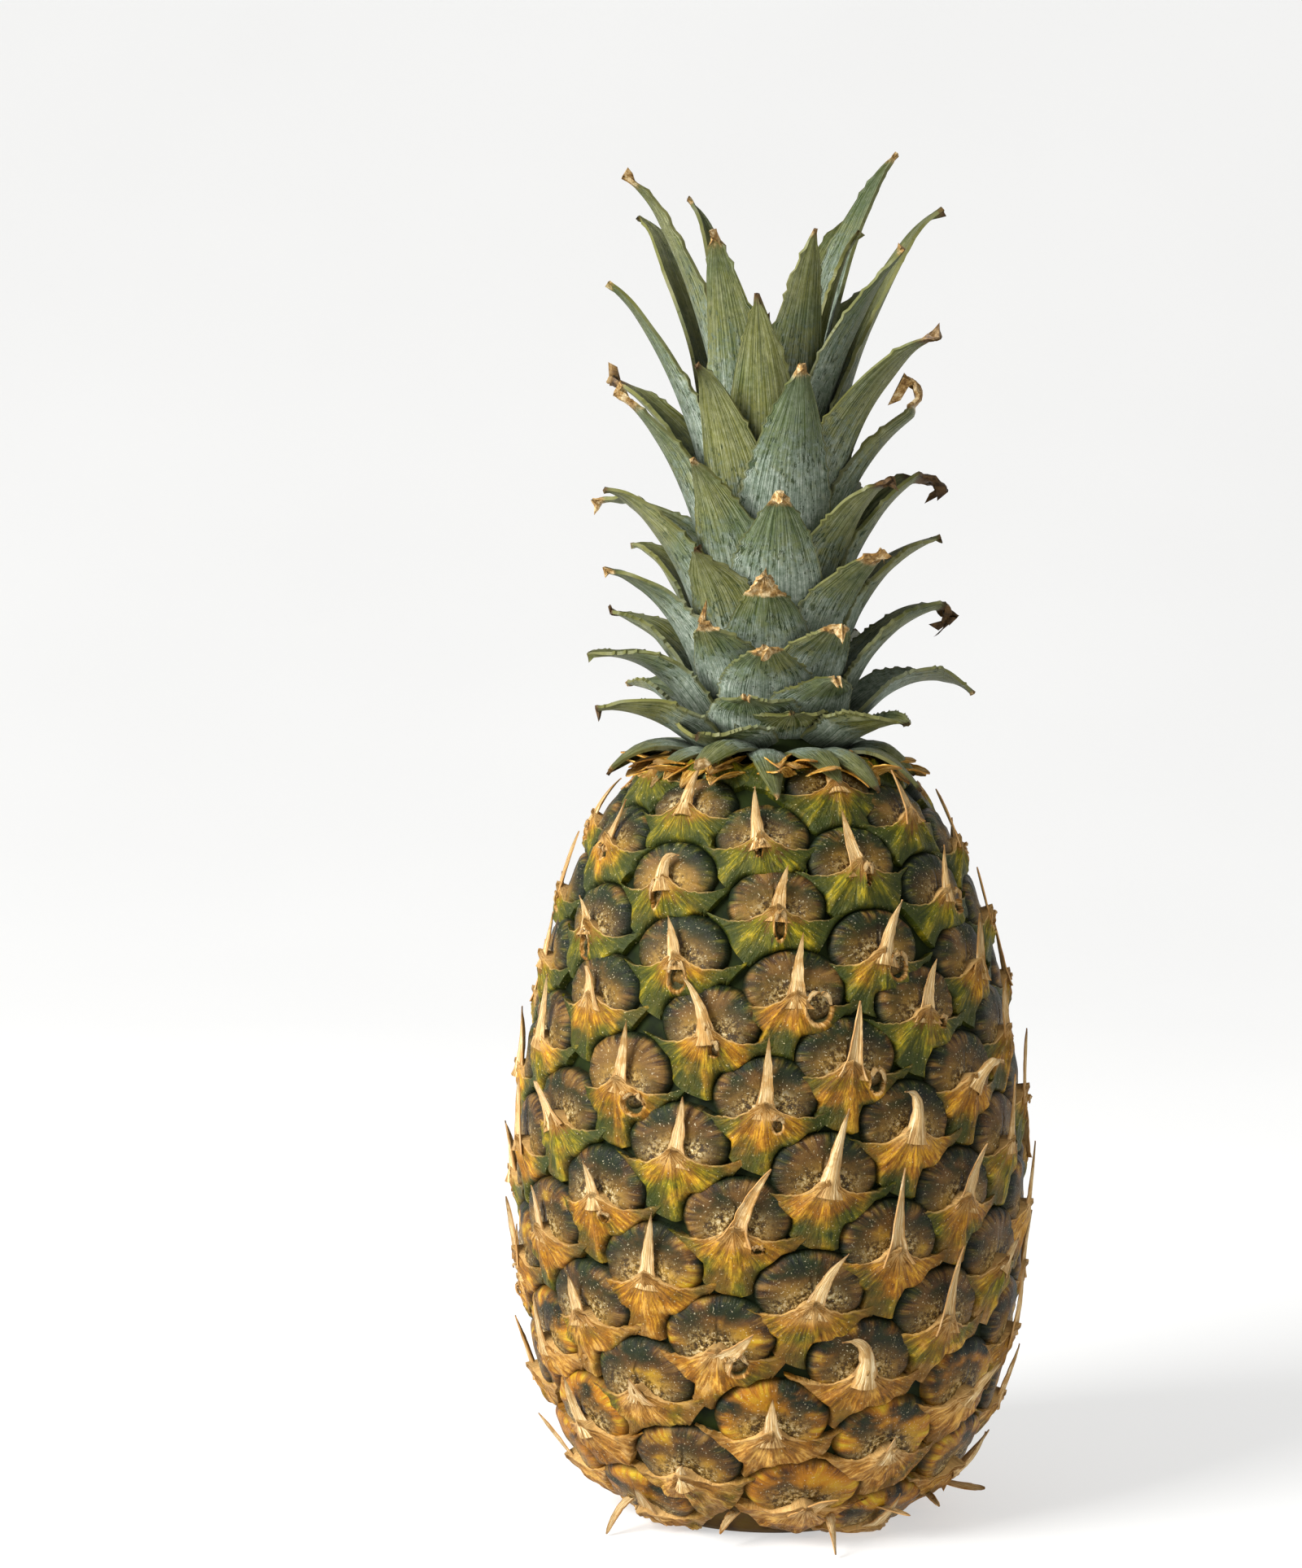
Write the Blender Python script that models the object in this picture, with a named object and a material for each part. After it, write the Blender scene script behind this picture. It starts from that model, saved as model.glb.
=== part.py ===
"""A whole ripe pineapple with its leafy crown, standing on its cut base.

The fruit's skin is one sheet, raised by a formula into fruitlets that follow a spiral. Each
fruitlet is an oval eye, with a four-pointed bract over its lower half and a dry spine that
stands out of the bract. The crown is a short stem with blades on a spiral of its own, and
the cut stalk sits in the middle of the base. Metres, +Z up, front towards -Y.
"""
import math
import random

import bmesh
import bpy
import numpy as np
from mathutils import Vector
from mathutils.geometry import delaunay_2d_cdt

MM = 0.001
SHARP_ANGLE = 40.0             # degrees between faces that keep a sharp edge

# Body of the fruit, measured over its eyes
FRUIT_RADIUS = 0.0635
WIDEST_HEIGHT = 0.0833
LOWER_REACH = 0.0877           # the lower curve would close this far below the widest height
UPPER_REACH = 0.1101
LOWER_POWERS = (2.18, 3.56)
UPPER_POWERS = (1.715, 3.0)
SHOULDER_HEIGHT = 0.186        # where the skin turns in under the crown
NECK_RADIUS = 0.021
NECK_HEIGHT = 0.1883
BASE_RADIUS = 0.031
RING_POINTS = 22               # corners of the flat rings at the neck and the base
SKIN_STEPS = 400
SLOPE_STEP = 0.0015            # the skin's slope is taken over this far to each side
FLOOR_CLEARANCE = 0.0004       # only the base touches the floor
RING_MARGIN = 0.006            # the relief fades out this close to the rings

# Spiral of the fruitlets, counted from the top
FRUITLETS = 132
FRONT_FRUITLET = 57            # the one nearest the front at mid height
FIRST_AREA = 565e-6            # skin above the first fruitlet
TOP_AREA = 431e-6              # skin of one fruitlet at the top
AREA_GROWTH = 1.334e-6         # more skin for each one further down
DIVERGENCE = 137.426           # degrees from one to the next
FRONT_AZIMUTH = -3.6
TWIST = (11.9, -10.3)          # drift of the spiral, in degrees over 50 fruitlets
FRUITLET_STRAY = 0.0007        # that a fruitlet may stand off its place, each way
# Fruitlets that stand further off their place, in millimetres across and up
FRUITLET_MOVES = {13: (0, 2), 23: (2, 1), 28: (-2, -2), 31: (1, 0), 36: (-2, -2), 52: (-1, -2),
                  60: (0, -2), 73: (-1, -2), 78: (-1, -1), 81: (-1, -2), 86: (-2, -2),
                  94: (-2, -2), 104: (0, 2), 117: (-2, 1), 120: (-2, -1)}

# One fruitlet, at the size that has 500 square millimetres of skin
STANDARD_AREA = 500e-6
FRUITLET_REACH = 0.018         # nothing of a fruitlet lies further from its spine's root
EYE_HALF_WIDTH = 0.0127
EYE_HALF_HEIGHT = 0.0093
EYE_RISE = 0.0025              # centre of the eye above the spine's root
EYE_TOP = 0.0004
EYE_DISH = 0.0004              # the eye's middle stands this much over its rim
EYE_EDGE = (0.90, 1.04)        # where the rim starts to fall, and where it meets the groove
GROOVE = -0.0026
BRACT_TOP = 0.0032
BRACT_EDGE = 0.0012            # the bract's upper edge, above the spine's root
WING_SPAN = 0.0165
WING_FALL = 0.62               # powers that hollow the bract's slopes
BRACT_DROP = 0.0132
DROP_FALL = 0.72
NOTCH_DEPTH = 0.0016
NOTCH_SPAN = 0.008
SPINE_LENGTH = 0.0145
SPINE_OUT = (0.0022, 0.0050)   # least and most that a spine's tip stands over the skin
# Tips of the spines seen in front, in millimetres across and up from their roots
SPINE_TIPS = {5: (2, 10), 10: (-2, 13), 13: (4, 10), 15: (-3, 13), 18: (4, 6), 20: (2, 11),
              23: (3, 11), 26: (-2, 6), 28: (6, 12), 31: (-3, 10), 33: (8, 12), 36: (2, 15),
              39: (-3, 7), 41: (5, 12), 44: (-7, 13), 49: (3, 15), 52: (3, 14), 54: (11, 2),
              57: (1, 16), 60: (-9, 7), 62: (-4, 9), 65: (2, 13), 70: (5, 17), 73: (-2, 8),
              75: (5, 12), 78: (8, 14), 81: (-1, 10), 83: (1, 19), 86: (3, 15), 88: (7, 4),
              91: (7, 12), 94: (-1, 9), 96: (2, 17), 99: (8, 5), 104: (-6, 8), 107: (0, 4),
              109: (7, 7), 112: (0, 9), 117: (0, 4), 120: (1, 4), 122: (8, 7), 125: (6, 4)}
SPINE_HALF_WIDTH = 0.0023
SPINE_CEILING = 0.1895         # spines end below the crown's lowest leaves
SPINE_ROOT_BACK = 0.0016
SPINE_BULGE = 0.0012
SPINE_BEND = 0.45              # share of its length where a spine bends
NEAREST_POINTS = 0.0012        # the sheet's corners keep this far apart
NEAREST_ROOTS = 0.0004
RING_SPARE = 0.0018
SEAM_OVERLAP = 0.7             # of the flat map past half a turn, so that its seam closes
SAME_PLACE = 1e-7

# Dry bracts in a ring round the neck
COLLAR_BRACTS = 15
COLLAR_SIZE = 0.75
COLLAR_ALONG = 0.0048          # down the skin from the flat neck
COLLAR_LENGTH = 0.0115

# Cut end of the stalk, in the middle of the base
STALK_RADIUS = 0.0125
STALK_DEPTH = 0.012
STALK_SIDES = 24
JOINT_GAP = 0.0003

# Crown, whose leaves are counted from the lowest
LEAVES = 58
FRONT_LEAF = 5
LEAF_AZIMUTH = 12.0            # degrees, of the front leaf
LEAF_DIVERGENCE = 135.2
LEAF_STRAY = 4.0               # degrees that a leaf may stand off its place
LEAF_THICKNESS = 0.0009
STEM_RADIUS = 0.0205
STEM_HEIGHT = 0.070
STEM_SIDES = 14
STEM_TAPER = 0.7
ROOT_SUNK = 0.002              # of the leaves in the stem
LEAF_STEPS = 4
LEAF_STATIONS = (0, 8, 20, 34, 47, 53, 57)
LEAF_LENGTHS = (0.026, 0.034, 0.046, 0.069, 0.100, 0.108, 0.056)
LEAF_WIDTHS = (0.028, 0.025, 0.024, 0.027, 0.022, 0.020, 0.008)
LEAF_ROOTS = (0.1897, 0.193, 0.202, 0.213, 0.227, 0.236, 0.243)
LEAF_CHANNELS = (0.021, 0.019, 0.017, 0.016, 0.015, 0.014, 0.008)
ROOT_LEANS = (65.0, 39.0, 17.0, 9.0, 7.0, 5.0, 3.0)
TIP_LEANS = (105.0, 100.0, 78.0, 54.0, 42.0, 34.0, 14.0)
ARCHING = 1.4                  # a leaf bends more towards its tip
TIP_WIDTH = 0.03               # share of the leaf's width left at the tip
DRIED_BACK = 0.85              # length left to the leaves in front
DRIED_SECTOR = 62.0            # degrees to each side of the front
FRONT_BEND = 0.45              # of the outward bend is left to the leaf right in front
# Leaves that stand off their place on the spiral, in degrees
LEAF_TURNS = {8: 20, 10: -27, 13: -15, 14: 10, 18: -21, 21: -14, 29: -5, 30: 12, 34: 5,
              37: 6, 38: 10, 42: 11, 45: -13, 48: 8, 49: -30, 50: 10, 52: -9, 53: 21}
# Leaves that kept more or less of their length
LEAF_SHARES = {0: 0.63, 2: 0.8, 5: 0.42, 7: 1.3, 8: 0.47, 10: 0.54, 13: 0.62, 15: 1.1,
               16: 0.66, 18: 0.59, 21: 0.68, 24: 0.73, 26: 0.68, 29: 0.78, 32: 0.81, 34: 0.74,
               37: 0.92, 39: 0.92, 40: 0.82, 42: 0.93, 45: 0.82, 46: 1.12, 47: 1.06, 48: 0.89,
               49: 1.1, 50: 0.84, 52: 1.08, 53: 0.77}
# Leaves whose tips lean out more or less, in degrees
LEAF_LEANS = {5: -15, 7: 45, 8: -15, 10: -10, 11: 20, 13: -15, 15: 12, 21: -10, 23: 12,
              30: 45, 31: 20, 34: 12, 38: 20, 39: 33, 42: 22, 48: -10, 49: 25, 50: 17,
              52: 12, 53: 15}


def material(name, colour, roughness):
    """A Principled material of one colour."""
    made = bpy.data.materials.new(name)
    made.use_nodes = True
    shader = made.node_tree.nodes["Principled BSDF"]
    shader.inputs["Base Color"].default_value = (*colour, 1.0)
    shader.inputs["Roughness"].default_value = roughness
    shader.inputs["Metallic"].default_value = 0.0
    return made


def body_radius(height):
    """Radius of the fruit over its eyes, at a height above the base."""
    if height < WIDEST_HEIGHT:
        reach, (inner, outer) = (WIDEST_HEIGHT - height) / LOWER_REACH, LOWER_POWERS
    else:
        reach, (inner, outer) = (height - WIDEST_HEIGHT) / UPPER_REACH, UPPER_POWERS
    return FRUIT_RADIUS * (1.0 - reach ** inner) ** (1.0 / outer)


class Skin:
    """The turned skin, measured down its outline from the neck to the base."""

    def __init__(self):
        side = [SHOULDER_HEIGHT + (FLOOR_CLEARANCE - SHOULDER_HEIGHT) * step / SKIN_STEPS
                for step in range(SKIN_STEPS + 1)]
        self.radii = np.array([NECK_RADIUS] + [body_radius(height) for height in side]
                              + [BASE_RADIUS])
        self.heights = np.array([NECK_HEIGHT] + side + [0.0])
        lengths = np.hypot(np.diff(self.radii), np.diff(self.heights))
        middles = (self.radii[1:] + self.radii[:-1]) / 2.0
        bands = 2.0 * math.pi * middles * lengths
        self.along = np.concatenate([[0.0], np.cumsum(lengths)])
        self.areas = np.concatenate([[0.0], np.cumsum(bands)]) - bands[0]
        self.unrolled = np.concatenate([[0.0], np.cumsum(lengths / middles)])
        self.length = float(self.along[-1])

    def down_to(self, area):
        """Distance down the outline that has this much skin between it and the shoulder."""
        return float(np.interp(area, self.areas, self.along))

    def level(self, along):
        """Distance down a flat map of the skin that keeps its angles."""
        return float(np.interp(along, self.along, self.unrolled))

    def radius(self, along):
        return float(np.interp(along, self.along, self.radii))

    def point(self, azimuth, along, out):
        """The point this far out of the skin."""
        ends = np.array([along - SLOPE_STEP, along, along + SLOPE_STEP])
        above, radius, below = np.interp(ends, self.along, self.radii)
        top, height, bottom = np.interp(ends, self.along, self.heights)
        slope = Vector((top - bottom, below - above)).normalized()
        reach = radius + slope.x * out
        level = height + slope.y * out
        return Vector((reach * math.sin(azimuth), -reach * math.cos(azimuth), level))


def half_turn(azimuth):
    """The same direction as an angle between minus and plus half a turn."""
    return (azimuth + math.pi) % (2.0 * math.pi) - math.pi


class Fruitlet:
    """One fruitlet: where the root of its spine lies on the skin, and its size."""

    def __init__(self, skin, azimuth, along, size):
        self.azimuth = azimuth
        self.along = along
        self.radius = skin.radius(along)
        self.size = size

    def beside(self, across, up):
        """Azimuth and distance down the skin of a place beside the spine's root."""
        return self.azimuth + across * self.size / self.radius, self.along - up * self.size

    def seen_from(self, azimuth, along):
        """Where a place on the skin lies, across and up from the spine's root."""
        across = half_turn(azimuth - self.azimuth) * self.radius
        return across / self.size, (self.along - along) / self.size


def spiral_of_fruitlets(skin):
    """The fruitlets, one after another down the spiral."""
    draw = random.Random(5)
    fruitlets = []
    for count in range(FRUITLETS):
        from_front = count - FRONT_FRUITLET
        area = FIRST_AREA + TOP_AREA * count + AREA_GROWTH * count ** 2 / 2.0
        turn = FRONT_AZIMUTH - DIVERGENCE * from_front
        turn += TWIST[0] * (from_front / 50.0) ** 2 + TWIST[1] * (from_front / 50.0) ** 3
        size = math.sqrt((TOP_AREA + AREA_GROWTH * count) / STANDARD_AREA)
        place = Fruitlet(skin, math.radians(turn), skin.down_to(area), 1.0)
        stray = [draw.uniform(-FRUITLET_STRAY, FRUITLET_STRAY) for _ in range(2)]
        across, up = [a + MM * b for a, b in zip(stray, FRUITLET_MOVES.get(count, (0, 0)))]
        azimuth, along = place.beside(across, up)
        fruitlets.append(Fruitlet(skin, azimuth, along, size))
    return fruitlets


def collar_of_bracts(skin, draw):
    """Small dry bracts in a ring under the crown."""
    collar = []
    for count in range(COLLAR_BRACTS):
        azimuth = 2.0 * math.pi * (count + draw.uniform(-0.2, 0.2)) / COLLAR_BRACTS
        along = COLLAR_ALONG + draw.uniform(-0.001, 0.001)
        collar.append(Fruitlet(skin, azimuth, along, COLLAR_SIZE))
    return collar


def eye_height(across, up):
    """Height of the eye: flat on top, with a steep rim down to the groove."""
    reach = math.hypot(across / EYE_HALF_WIDTH, (up - EYE_RISE) / EYE_HALF_HEIGHT)
    start, end = EYE_EDGE
    fall = min(max((reach - start) / (end - start), 0.0), 1.0)
    return EYE_TOP * (1.0 - fall) + GROOVE * fall - EYE_DISH * min(reach, 1.0)


def bract_height(across, up):
    """Height of the bract: a boss at the spine's root that falls off to four points."""
    if up > BRACT_EDGE - NOTCH_DEPTH * max(0.0, 1.0 - abs(across) / NOTCH_SPAN):
        return GROOVE
    side = abs(across) / WING_SPAN
    drop = max(-up, 0.0) / BRACT_DROP
    reach = side ** WING_FALL + drop ** DROP_FALL
    return max(BRACT_TOP + (GROOVE * 0.75 - BRACT_TOP) * reach, GROOVE)


def relief(near, azimuth, along):
    """Height of the skin's relief at a place, from the fruitlets near it."""
    height = GROOVE
    for fruitlet in near:
        across, up = fruitlet.seen_from(azimuth, along)
        if abs(across) < FRUITLET_REACH and abs(up) < FRUITLET_REACH:
            height = max(height, eye_height(across, up), bract_height(across, up))
    return height


def object_from(shape, name, collection, finish=None):
    """Turn a bmesh into a linked object."""
    mesh = bpy.data.meshes.new(name)
    shape.to_mesh(mesh)
    shape.free()
    mesh.shade_smooth()
    mesh.set_sharp_from_angle(angle=math.radians(SHARP_ANGLE))
    made = bpy.data.objects.new(name, mesh)
    collection.objects.link(made)
    if finish:
        mesh.materials.append(finish)
    return made


def feature_points():
    """Places that carry the form of one fruitlet, across and up, most telling first."""
    rootline = [(-SPINE_HALF_WIDTH, -0.0002), (SPINE_HALF_WIDTH, -0.0002),
                (0.0, SPINE_ROOT_BACK)]
    edge = [(0.0, -0.0042), (-0.0052, -0.0009), (0.0052, -0.0009)]
    tips = [(-WING_SPAN, 0.0008), (WING_SPAN, 0.0008), (0.0004, -BRACT_DROP)]
    wings = [(-0.0105, 0.0003), (0.0105, 0.0003), (-0.0052, -0.0062), (0.0052, -0.0062)]
    foot = [(-0.0105, 0.0016), (-0.0050, 0.0006), (0.0050, 0.0006), (0.0105, 0.0016)]
    centre = [(0.0, 0.0060)]
    arcs = []
    for reach, angles in ((0.90, (4, 38, 71, 109, 142, 176)), (1.06, (20, 55, 90, 125, 160))):
        for angle in angles:
            turn = math.radians(angle)
            arcs.append((EYE_HALF_WIDTH * reach * math.cos(turn),
                         EYE_RISE + EYE_HALF_HEIGHT * reach * math.sin(turn)))
    return [rootline, edge, tips, wings + foot, arcs, centre]


def is_crowded(skin, places, azimuth, along, spare):
    """Whether a place lies closer than this to one that is already taken."""
    radius = skin.radius(along)
    for other_azimuth, other_along in places:
        if abs(along - other_along) < spare:
            across = half_turn(azimuth - other_azimuth) * radius
            if math.hypot(across, along - other_along) < spare:
                return True
    return False


def skin_map(skin, fruitlets):
    """Places on the skin for the sheet's corners, and the three at each spine's root."""
    places = []
    roots = []
    for group, features in enumerate(feature_points()):
        spare = NEAREST_POINTS if group else NEAREST_ROOTS
        for fruitlet in fruitlets:
            taken = []
            for across, up in features:
                azimuth, along = fruitlet.beside(across, up)
                azimuth = half_turn(azimuth)
                if not RING_SPARE < along < skin.length - RING_SPARE:
                    continue
                if not is_crowded(skin, places, azimuth, along, spare):
                    taken.append(len(places))
                    places.append((azimuth, along))
            if group == 0:
                roots.append(taken)
    for along in (0.0, skin.length):
        for corner in range(RING_POINTS):
            places.append((2.0 * math.pi * (corner + 0.5) / RING_POINTS - math.pi, along))
    return places, roots


def sheet(skin, fruitlets):
    """The raised skin as one open sheet, from the neck's ring to the base's."""
    places, roots = skin_map(skin, fruitlets)
    flat = []
    owner = []
    for index, (azimuth, along) in enumerate(places):
        for turn in (-1, 0, 1):
            shifted = azimuth + turn * 2.0 * math.pi
            if abs(shifted) < math.pi + SEAM_OVERLAP:
                flat.append((shifted, -skin.level(along)))
                owner.append(index)
    corners, _, faces, origins, _, _ = delaunay_2d_cdt(flat, [], [], 0, SAME_PLACE)
    shape = bmesh.new()
    verts = []
    for azimuth, along in places:
        near = [fruitlet for fruitlet in fruitlets
                if abs(fruitlet.along - along) < 1.2 * FRUITLET_REACH]
        edge = min(along, skin.length - along) / RING_MARGIN
        out = relief(near, azimuth, along) * min(edge, 1.0)
        verts.append(shape.verts.new(skin.point(azimuth, along, out)))
    for face in faces:
        middle = sum(corners[corner].x for corner in face) / len(face)
        if -math.pi <= middle < math.pi:
            shape.faces.new([verts[owner[origins[corner][0]]] for corner in face])
    for corner in verts[:-2 * RING_POINTS]:
        corner.co.z = max(corner.co.z, FLOOR_CLEARANCE)
    return shape, [[verts[index] for index in root] for root in roots]


def pull_spine(shape, root, tip):
    """Pull the three corners of a spine's root out into a blade that bends up to its tip."""
    face = shape.faces.get(root)
    if face is None:
        return
    centre = sum((corner.co for corner in root), Vector()) / 3.0
    outward = Vector((centre.x, centre.y, 0.0)).normalized()
    for share, width in ((SPINE_BEND, 1.0 - SPINE_BEND), (1.0, 0.0)):
        face = bmesh.ops.extrude_discrete_faces(shape, faces=[face])["faces"][0]
        middle = centre.lerp(tip, share) + outward * SPINE_BULGE * (1.0 - share)
        current = sum((corner.co for corner in face.verts), Vector()) / 3.0
        for corner in face.verts:
            corner.co = middle + (corner.co - current) * width
    bmesh.ops.pointmerge(shape, verts=list(face.verts), merge_co=tip)


def spine_tip(skin, count, fruitlet, root, draw):
    """Where a fruitlet's spine ends: up the skin and a little out, clear of the crown."""
    length = SPINE_LENGTH * draw.uniform(0.75, 1.1)
    lean = draw.uniform(-0.35, 0.45)
    out = draw.uniform(*SPINE_OUT)
    across, up = length * math.sin(lean), length * math.cos(lean)
    if count in SPINE_TIPS:
        across, up = [MM * distance for distance in SPINE_TIPS[count]]
    azimuth, along = fruitlet.beside(across, up)
    tip = skin.point(azimuth, max(along, 0.001), out)
    centre = sum((corner.co for corner in root), Vector()) / 3.0
    if tip.z > SPINE_CEILING:
        tip = centre.lerp(tip, max((SPINE_CEILING - centre.z) / (tip.z - centre.z), 0.3))
    tip.z = max(tip.z, FLOOR_CLEARANCE)
    return tip


def collar_tip(bract, root, draw):
    """Where a dry bract of the collar ends: out over the shoulder and a little down."""
    centre = sum((corner.co for corner in root), Vector()) / 3.0
    azimuth = bract.azimuth + draw.uniform(-0.25, 0.25)
    outward = Vector((math.sin(azimuth), -math.cos(azimuth), draw.uniform(-0.15, 0.05)))
    return centre + outward * COLLAR_LENGTH


def close_ring(shape, height, steps):
    """Close the sheet at one end: rings of (radius, height), then a flat face."""
    ring = [edge for edge in shape.edges if edge.is_boundary
            and abs(edge.verts[0].co.z - height) < 0.0001]
    for radius, level in steps:
        grown = bmesh.ops.extrude_edge_only(shape, edges=ring)["geom"]
        for corner in grown:
            if isinstance(corner, bmesh.types.BMVert):
                spread = Vector((corner.co.x, corner.co.y)).normalized() * radius
                corner.co = (spread.x, spread.y, level)
        ring = [edge for edge in grown if isinstance(edge, bmesh.types.BMEdge)
                and edge.is_boundary]
    bmesh.ops.holes_fill(shape, edges=ring)


def make_fruit(parts, finish):
    """The fruit: its raised skin, closed at the neck and round the stalk's recess."""
    skin = Skin()
    draw = random.Random(7)
    collar = collar_of_bracts(skin, draw)
    fruitlets = spiral_of_fruitlets(skin)
    shape, roots = sheet(skin, fruitlets + collar)
    for count, fruitlet in enumerate(fruitlets):
        root = roots[count]
        pull_spine(shape, root, spine_tip(skin, count, fruitlet, root, draw))
    for bract, root in zip(collar, roots[len(fruitlets):]):
        pull_spine(shape, root, collar_tip(bract, root, draw))
    recess = STALK_RADIUS + JOINT_GAP
    close_ring(shape, NECK_HEIGHT, [])
    close_ring(shape, 0.0, [(recess, 0.0), (recess, STALK_DEPTH + JOINT_GAP)])
    bmesh.ops.recalc_face_normals(shape, faces=shape.faces)
    if shape.calc_volume(signed=True) < 0.0:
        bmesh.ops.reverse_faces(shape, faces=shape.faces)
    return object_from(shape, "fruit", parts, finish)


def make_stalk(parts, finish):
    """The cut end of the stalk, flush with the base."""
    shape = bmesh.new()
    bmesh.ops.create_cone(shape, segments=STALK_SIDES, radius1=STALK_RADIUS, radius2=STALK_RADIUS,
                          depth=STALK_DEPTH, cap_ends=True, cap_tris=False)
    bmesh.ops.translate(shape, verts=shape.verts, vec=(0.0, 0.0, STALK_DEPTH / 2.0))
    return object_from(shape, "cut_stalk", parts, finish)


def along_crown(leaf, values):
    """A value that changes up the crown, from its values at the stations."""
    return float(np.interp(leaf, LEAF_STATIONS, values))


def make_leaf(leaf, draw, collection):
    """One blade: a channelled sheet that leans out more and more towards its tip."""
    turn = LEAF_AZIMUTH - LEAF_DIVERGENCE * (leaf - FRONT_LEAF)
    stray = LEAF_TURNS.get(leaf, draw.uniform(-LEAF_STRAY, LEAF_STRAY))
    azimuth = half_turn(math.radians(turn + stray))
    left = DRIED_BACK if abs(azimuth) < math.radians(DRIED_SECTOR) else 1.0
    length = along_crown(leaf, LEAF_LENGTHS) * LEAF_SHARES.get(leaf, left)
    half_width = along_crown(leaf, LEAF_WIDTHS) / 2.0
    root_height = along_crown(leaf, LEAF_ROOTS)
    root_lean = math.radians(along_crown(leaf, ROOT_LEANS))
    tip_lean = math.radians(along_crown(leaf, TIP_LEANS) + LEAF_LEANS.get(leaf, 0.0))
    facing = min(abs(azimuth) / math.radians(DRIED_SECTOR), 1.0)
    bend = FRONT_BEND + (1.0 - FRONT_BEND) * facing ** 2
    tip_lean = root_lean + (tip_lean - root_lean) * bend
    channel = along_crown(leaf, LEAF_CHANNELS)
    stem_share = (root_height - NECK_HEIGHT) / STEM_HEIGHT
    radius = STEM_RADIUS * (1.0 - stem_share) ** STEM_TAPER - ROOT_SUNK
    side = Vector((math.cos(azimuth), math.sin(azimuth), 0.0))
    outward = Vector((math.sin(azimuth), -math.cos(azimuth), 0.0))
    place = outward * radius + Vector((0.0, 0.0, root_height))
    shape = bmesh.new()
    bmesh.ops.create_grid(shape, x_segments=2, y_segments=LEAF_STEPS, size=1.0)
    rows = {}
    for corner in shape.verts:
        rows.setdefault(round((corner.co.y + 1.0) / 2.0 * LEAF_STEPS), []).append(corner)
    for step in range(LEAF_STEPS + 1):
        share = step / LEAF_STEPS
        lean = root_lean + (tip_lean - root_lean) * share ** ARCHING
        inward = -outward * math.cos(lean) + Vector((0.0, 0.0, math.sin(lean)))
        taper = (0.86 + 0.55 * share) * (1.0 - share ** 1.8) + TIP_WIDTH
        for corner in rows[step]:
            across = corner.co.x * half_width * taper
            corner.co = place + side * across + inward * across ** 2 / (2.0 * channel)
        forward = outward * math.sin(lean) + Vector((0.0, 0.0, math.cos(lean)))
        place = place + forward * length / LEAF_STEPS
    bmesh.ops.recalc_face_normals(shape, faces=shape.faces)
    bmesh.ops.solidify(shape, geom=list(shape.faces), thickness=LEAF_THICKNESS)
    bmesh.ops.recalc_face_normals(shape, faces=shape.faces)
    return object_from(shape, f"leaf_{leaf}", collection)


def keep_main_body(mesh):
    """Fill sealed hollows and drop loose scraps: only the largest surface stays."""
    shape = bmesh.new()
    shape.from_mesh(mesh)
    unseen = set(shape.verts)
    surfaces = []
    while unseen:
        surface = set()
        edge = [next(iter(unseen))]
        while edge:
            corner = edge.pop()
            if corner in surface:
                continue
            surface.add(corner)
            edge += [side.other_vert(corner) for side in corner.link_edges]
        unseen -= surface
        surfaces.append(surface)
    surfaces.sort(key=len)
    scraps = [corner for surface in surfaces[:-1] for corner in surface]
    bmesh.ops.delete(shape, geom=scraps, context="VERTS")
    shape.to_mesh(mesh)
    shape.free()


def make_crown(parts, finish):
    """The crown: a short tapered stem with all its blades grown together with it."""
    shape = bmesh.new()
    bmesh.ops.create_cone(shape, segments=STEM_SIDES, radius1=STEM_RADIUS, radius2=STEM_RADIUS * 0.2,
                          depth=STEM_HEIGHT, cap_ends=True, cap_tris=False)
    lift = NECK_HEIGHT + JOINT_GAP + STEM_HEIGHT / 2.0
    bmesh.ops.translate(shape, verts=shape.verts, vec=(0.0, 0.0, lift))
    crown = object_from(shape, "crown", parts, finish)
    blades = bpy.data.collections.new("blades")
    bpy.context.scene.collection.children.link(blades)
    draw = random.Random(3)
    for leaf in range(LEAVES):
        make_leaf(leaf, draw, blades)
    joined = crown.modifiers.new("grown together", "BOOLEAN")
    joined.operation = "UNION"
    joined.operand_type = "COLLECTION"
    joined.collection = blades
    joined.solver = "MANIFOLD"
    depsgraph = bpy.context.evaluated_depsgraph_get()
    grown = bpy.data.meshes.new_from_object(crown.evaluated_get(depsgraph))
    crown.modifiers.clear()
    crown.data = grown
    keep_main_body(grown)
    for blade in list(blades.objects):
        bpy.data.objects.remove(blade)
    bpy.data.collections.remove(blades)
    return crown


def main():
    for found in list(bpy.data.objects):
        bpy.data.objects.remove(found)
    parts = bpy.data.collections.new("pineapple")
    bpy.context.scene.collection.children.link(parts)
    make_fruit(parts, material("rind", (0.30, 0.20, 0.06), 0.55))
    make_stalk(parts, material("cut stalk", (0.55, 0.44, 0.28), 0.85))
    make_crown(parts, material("crown leaf", (0.16, 0.23, 0.15), 0.50))


main()
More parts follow.
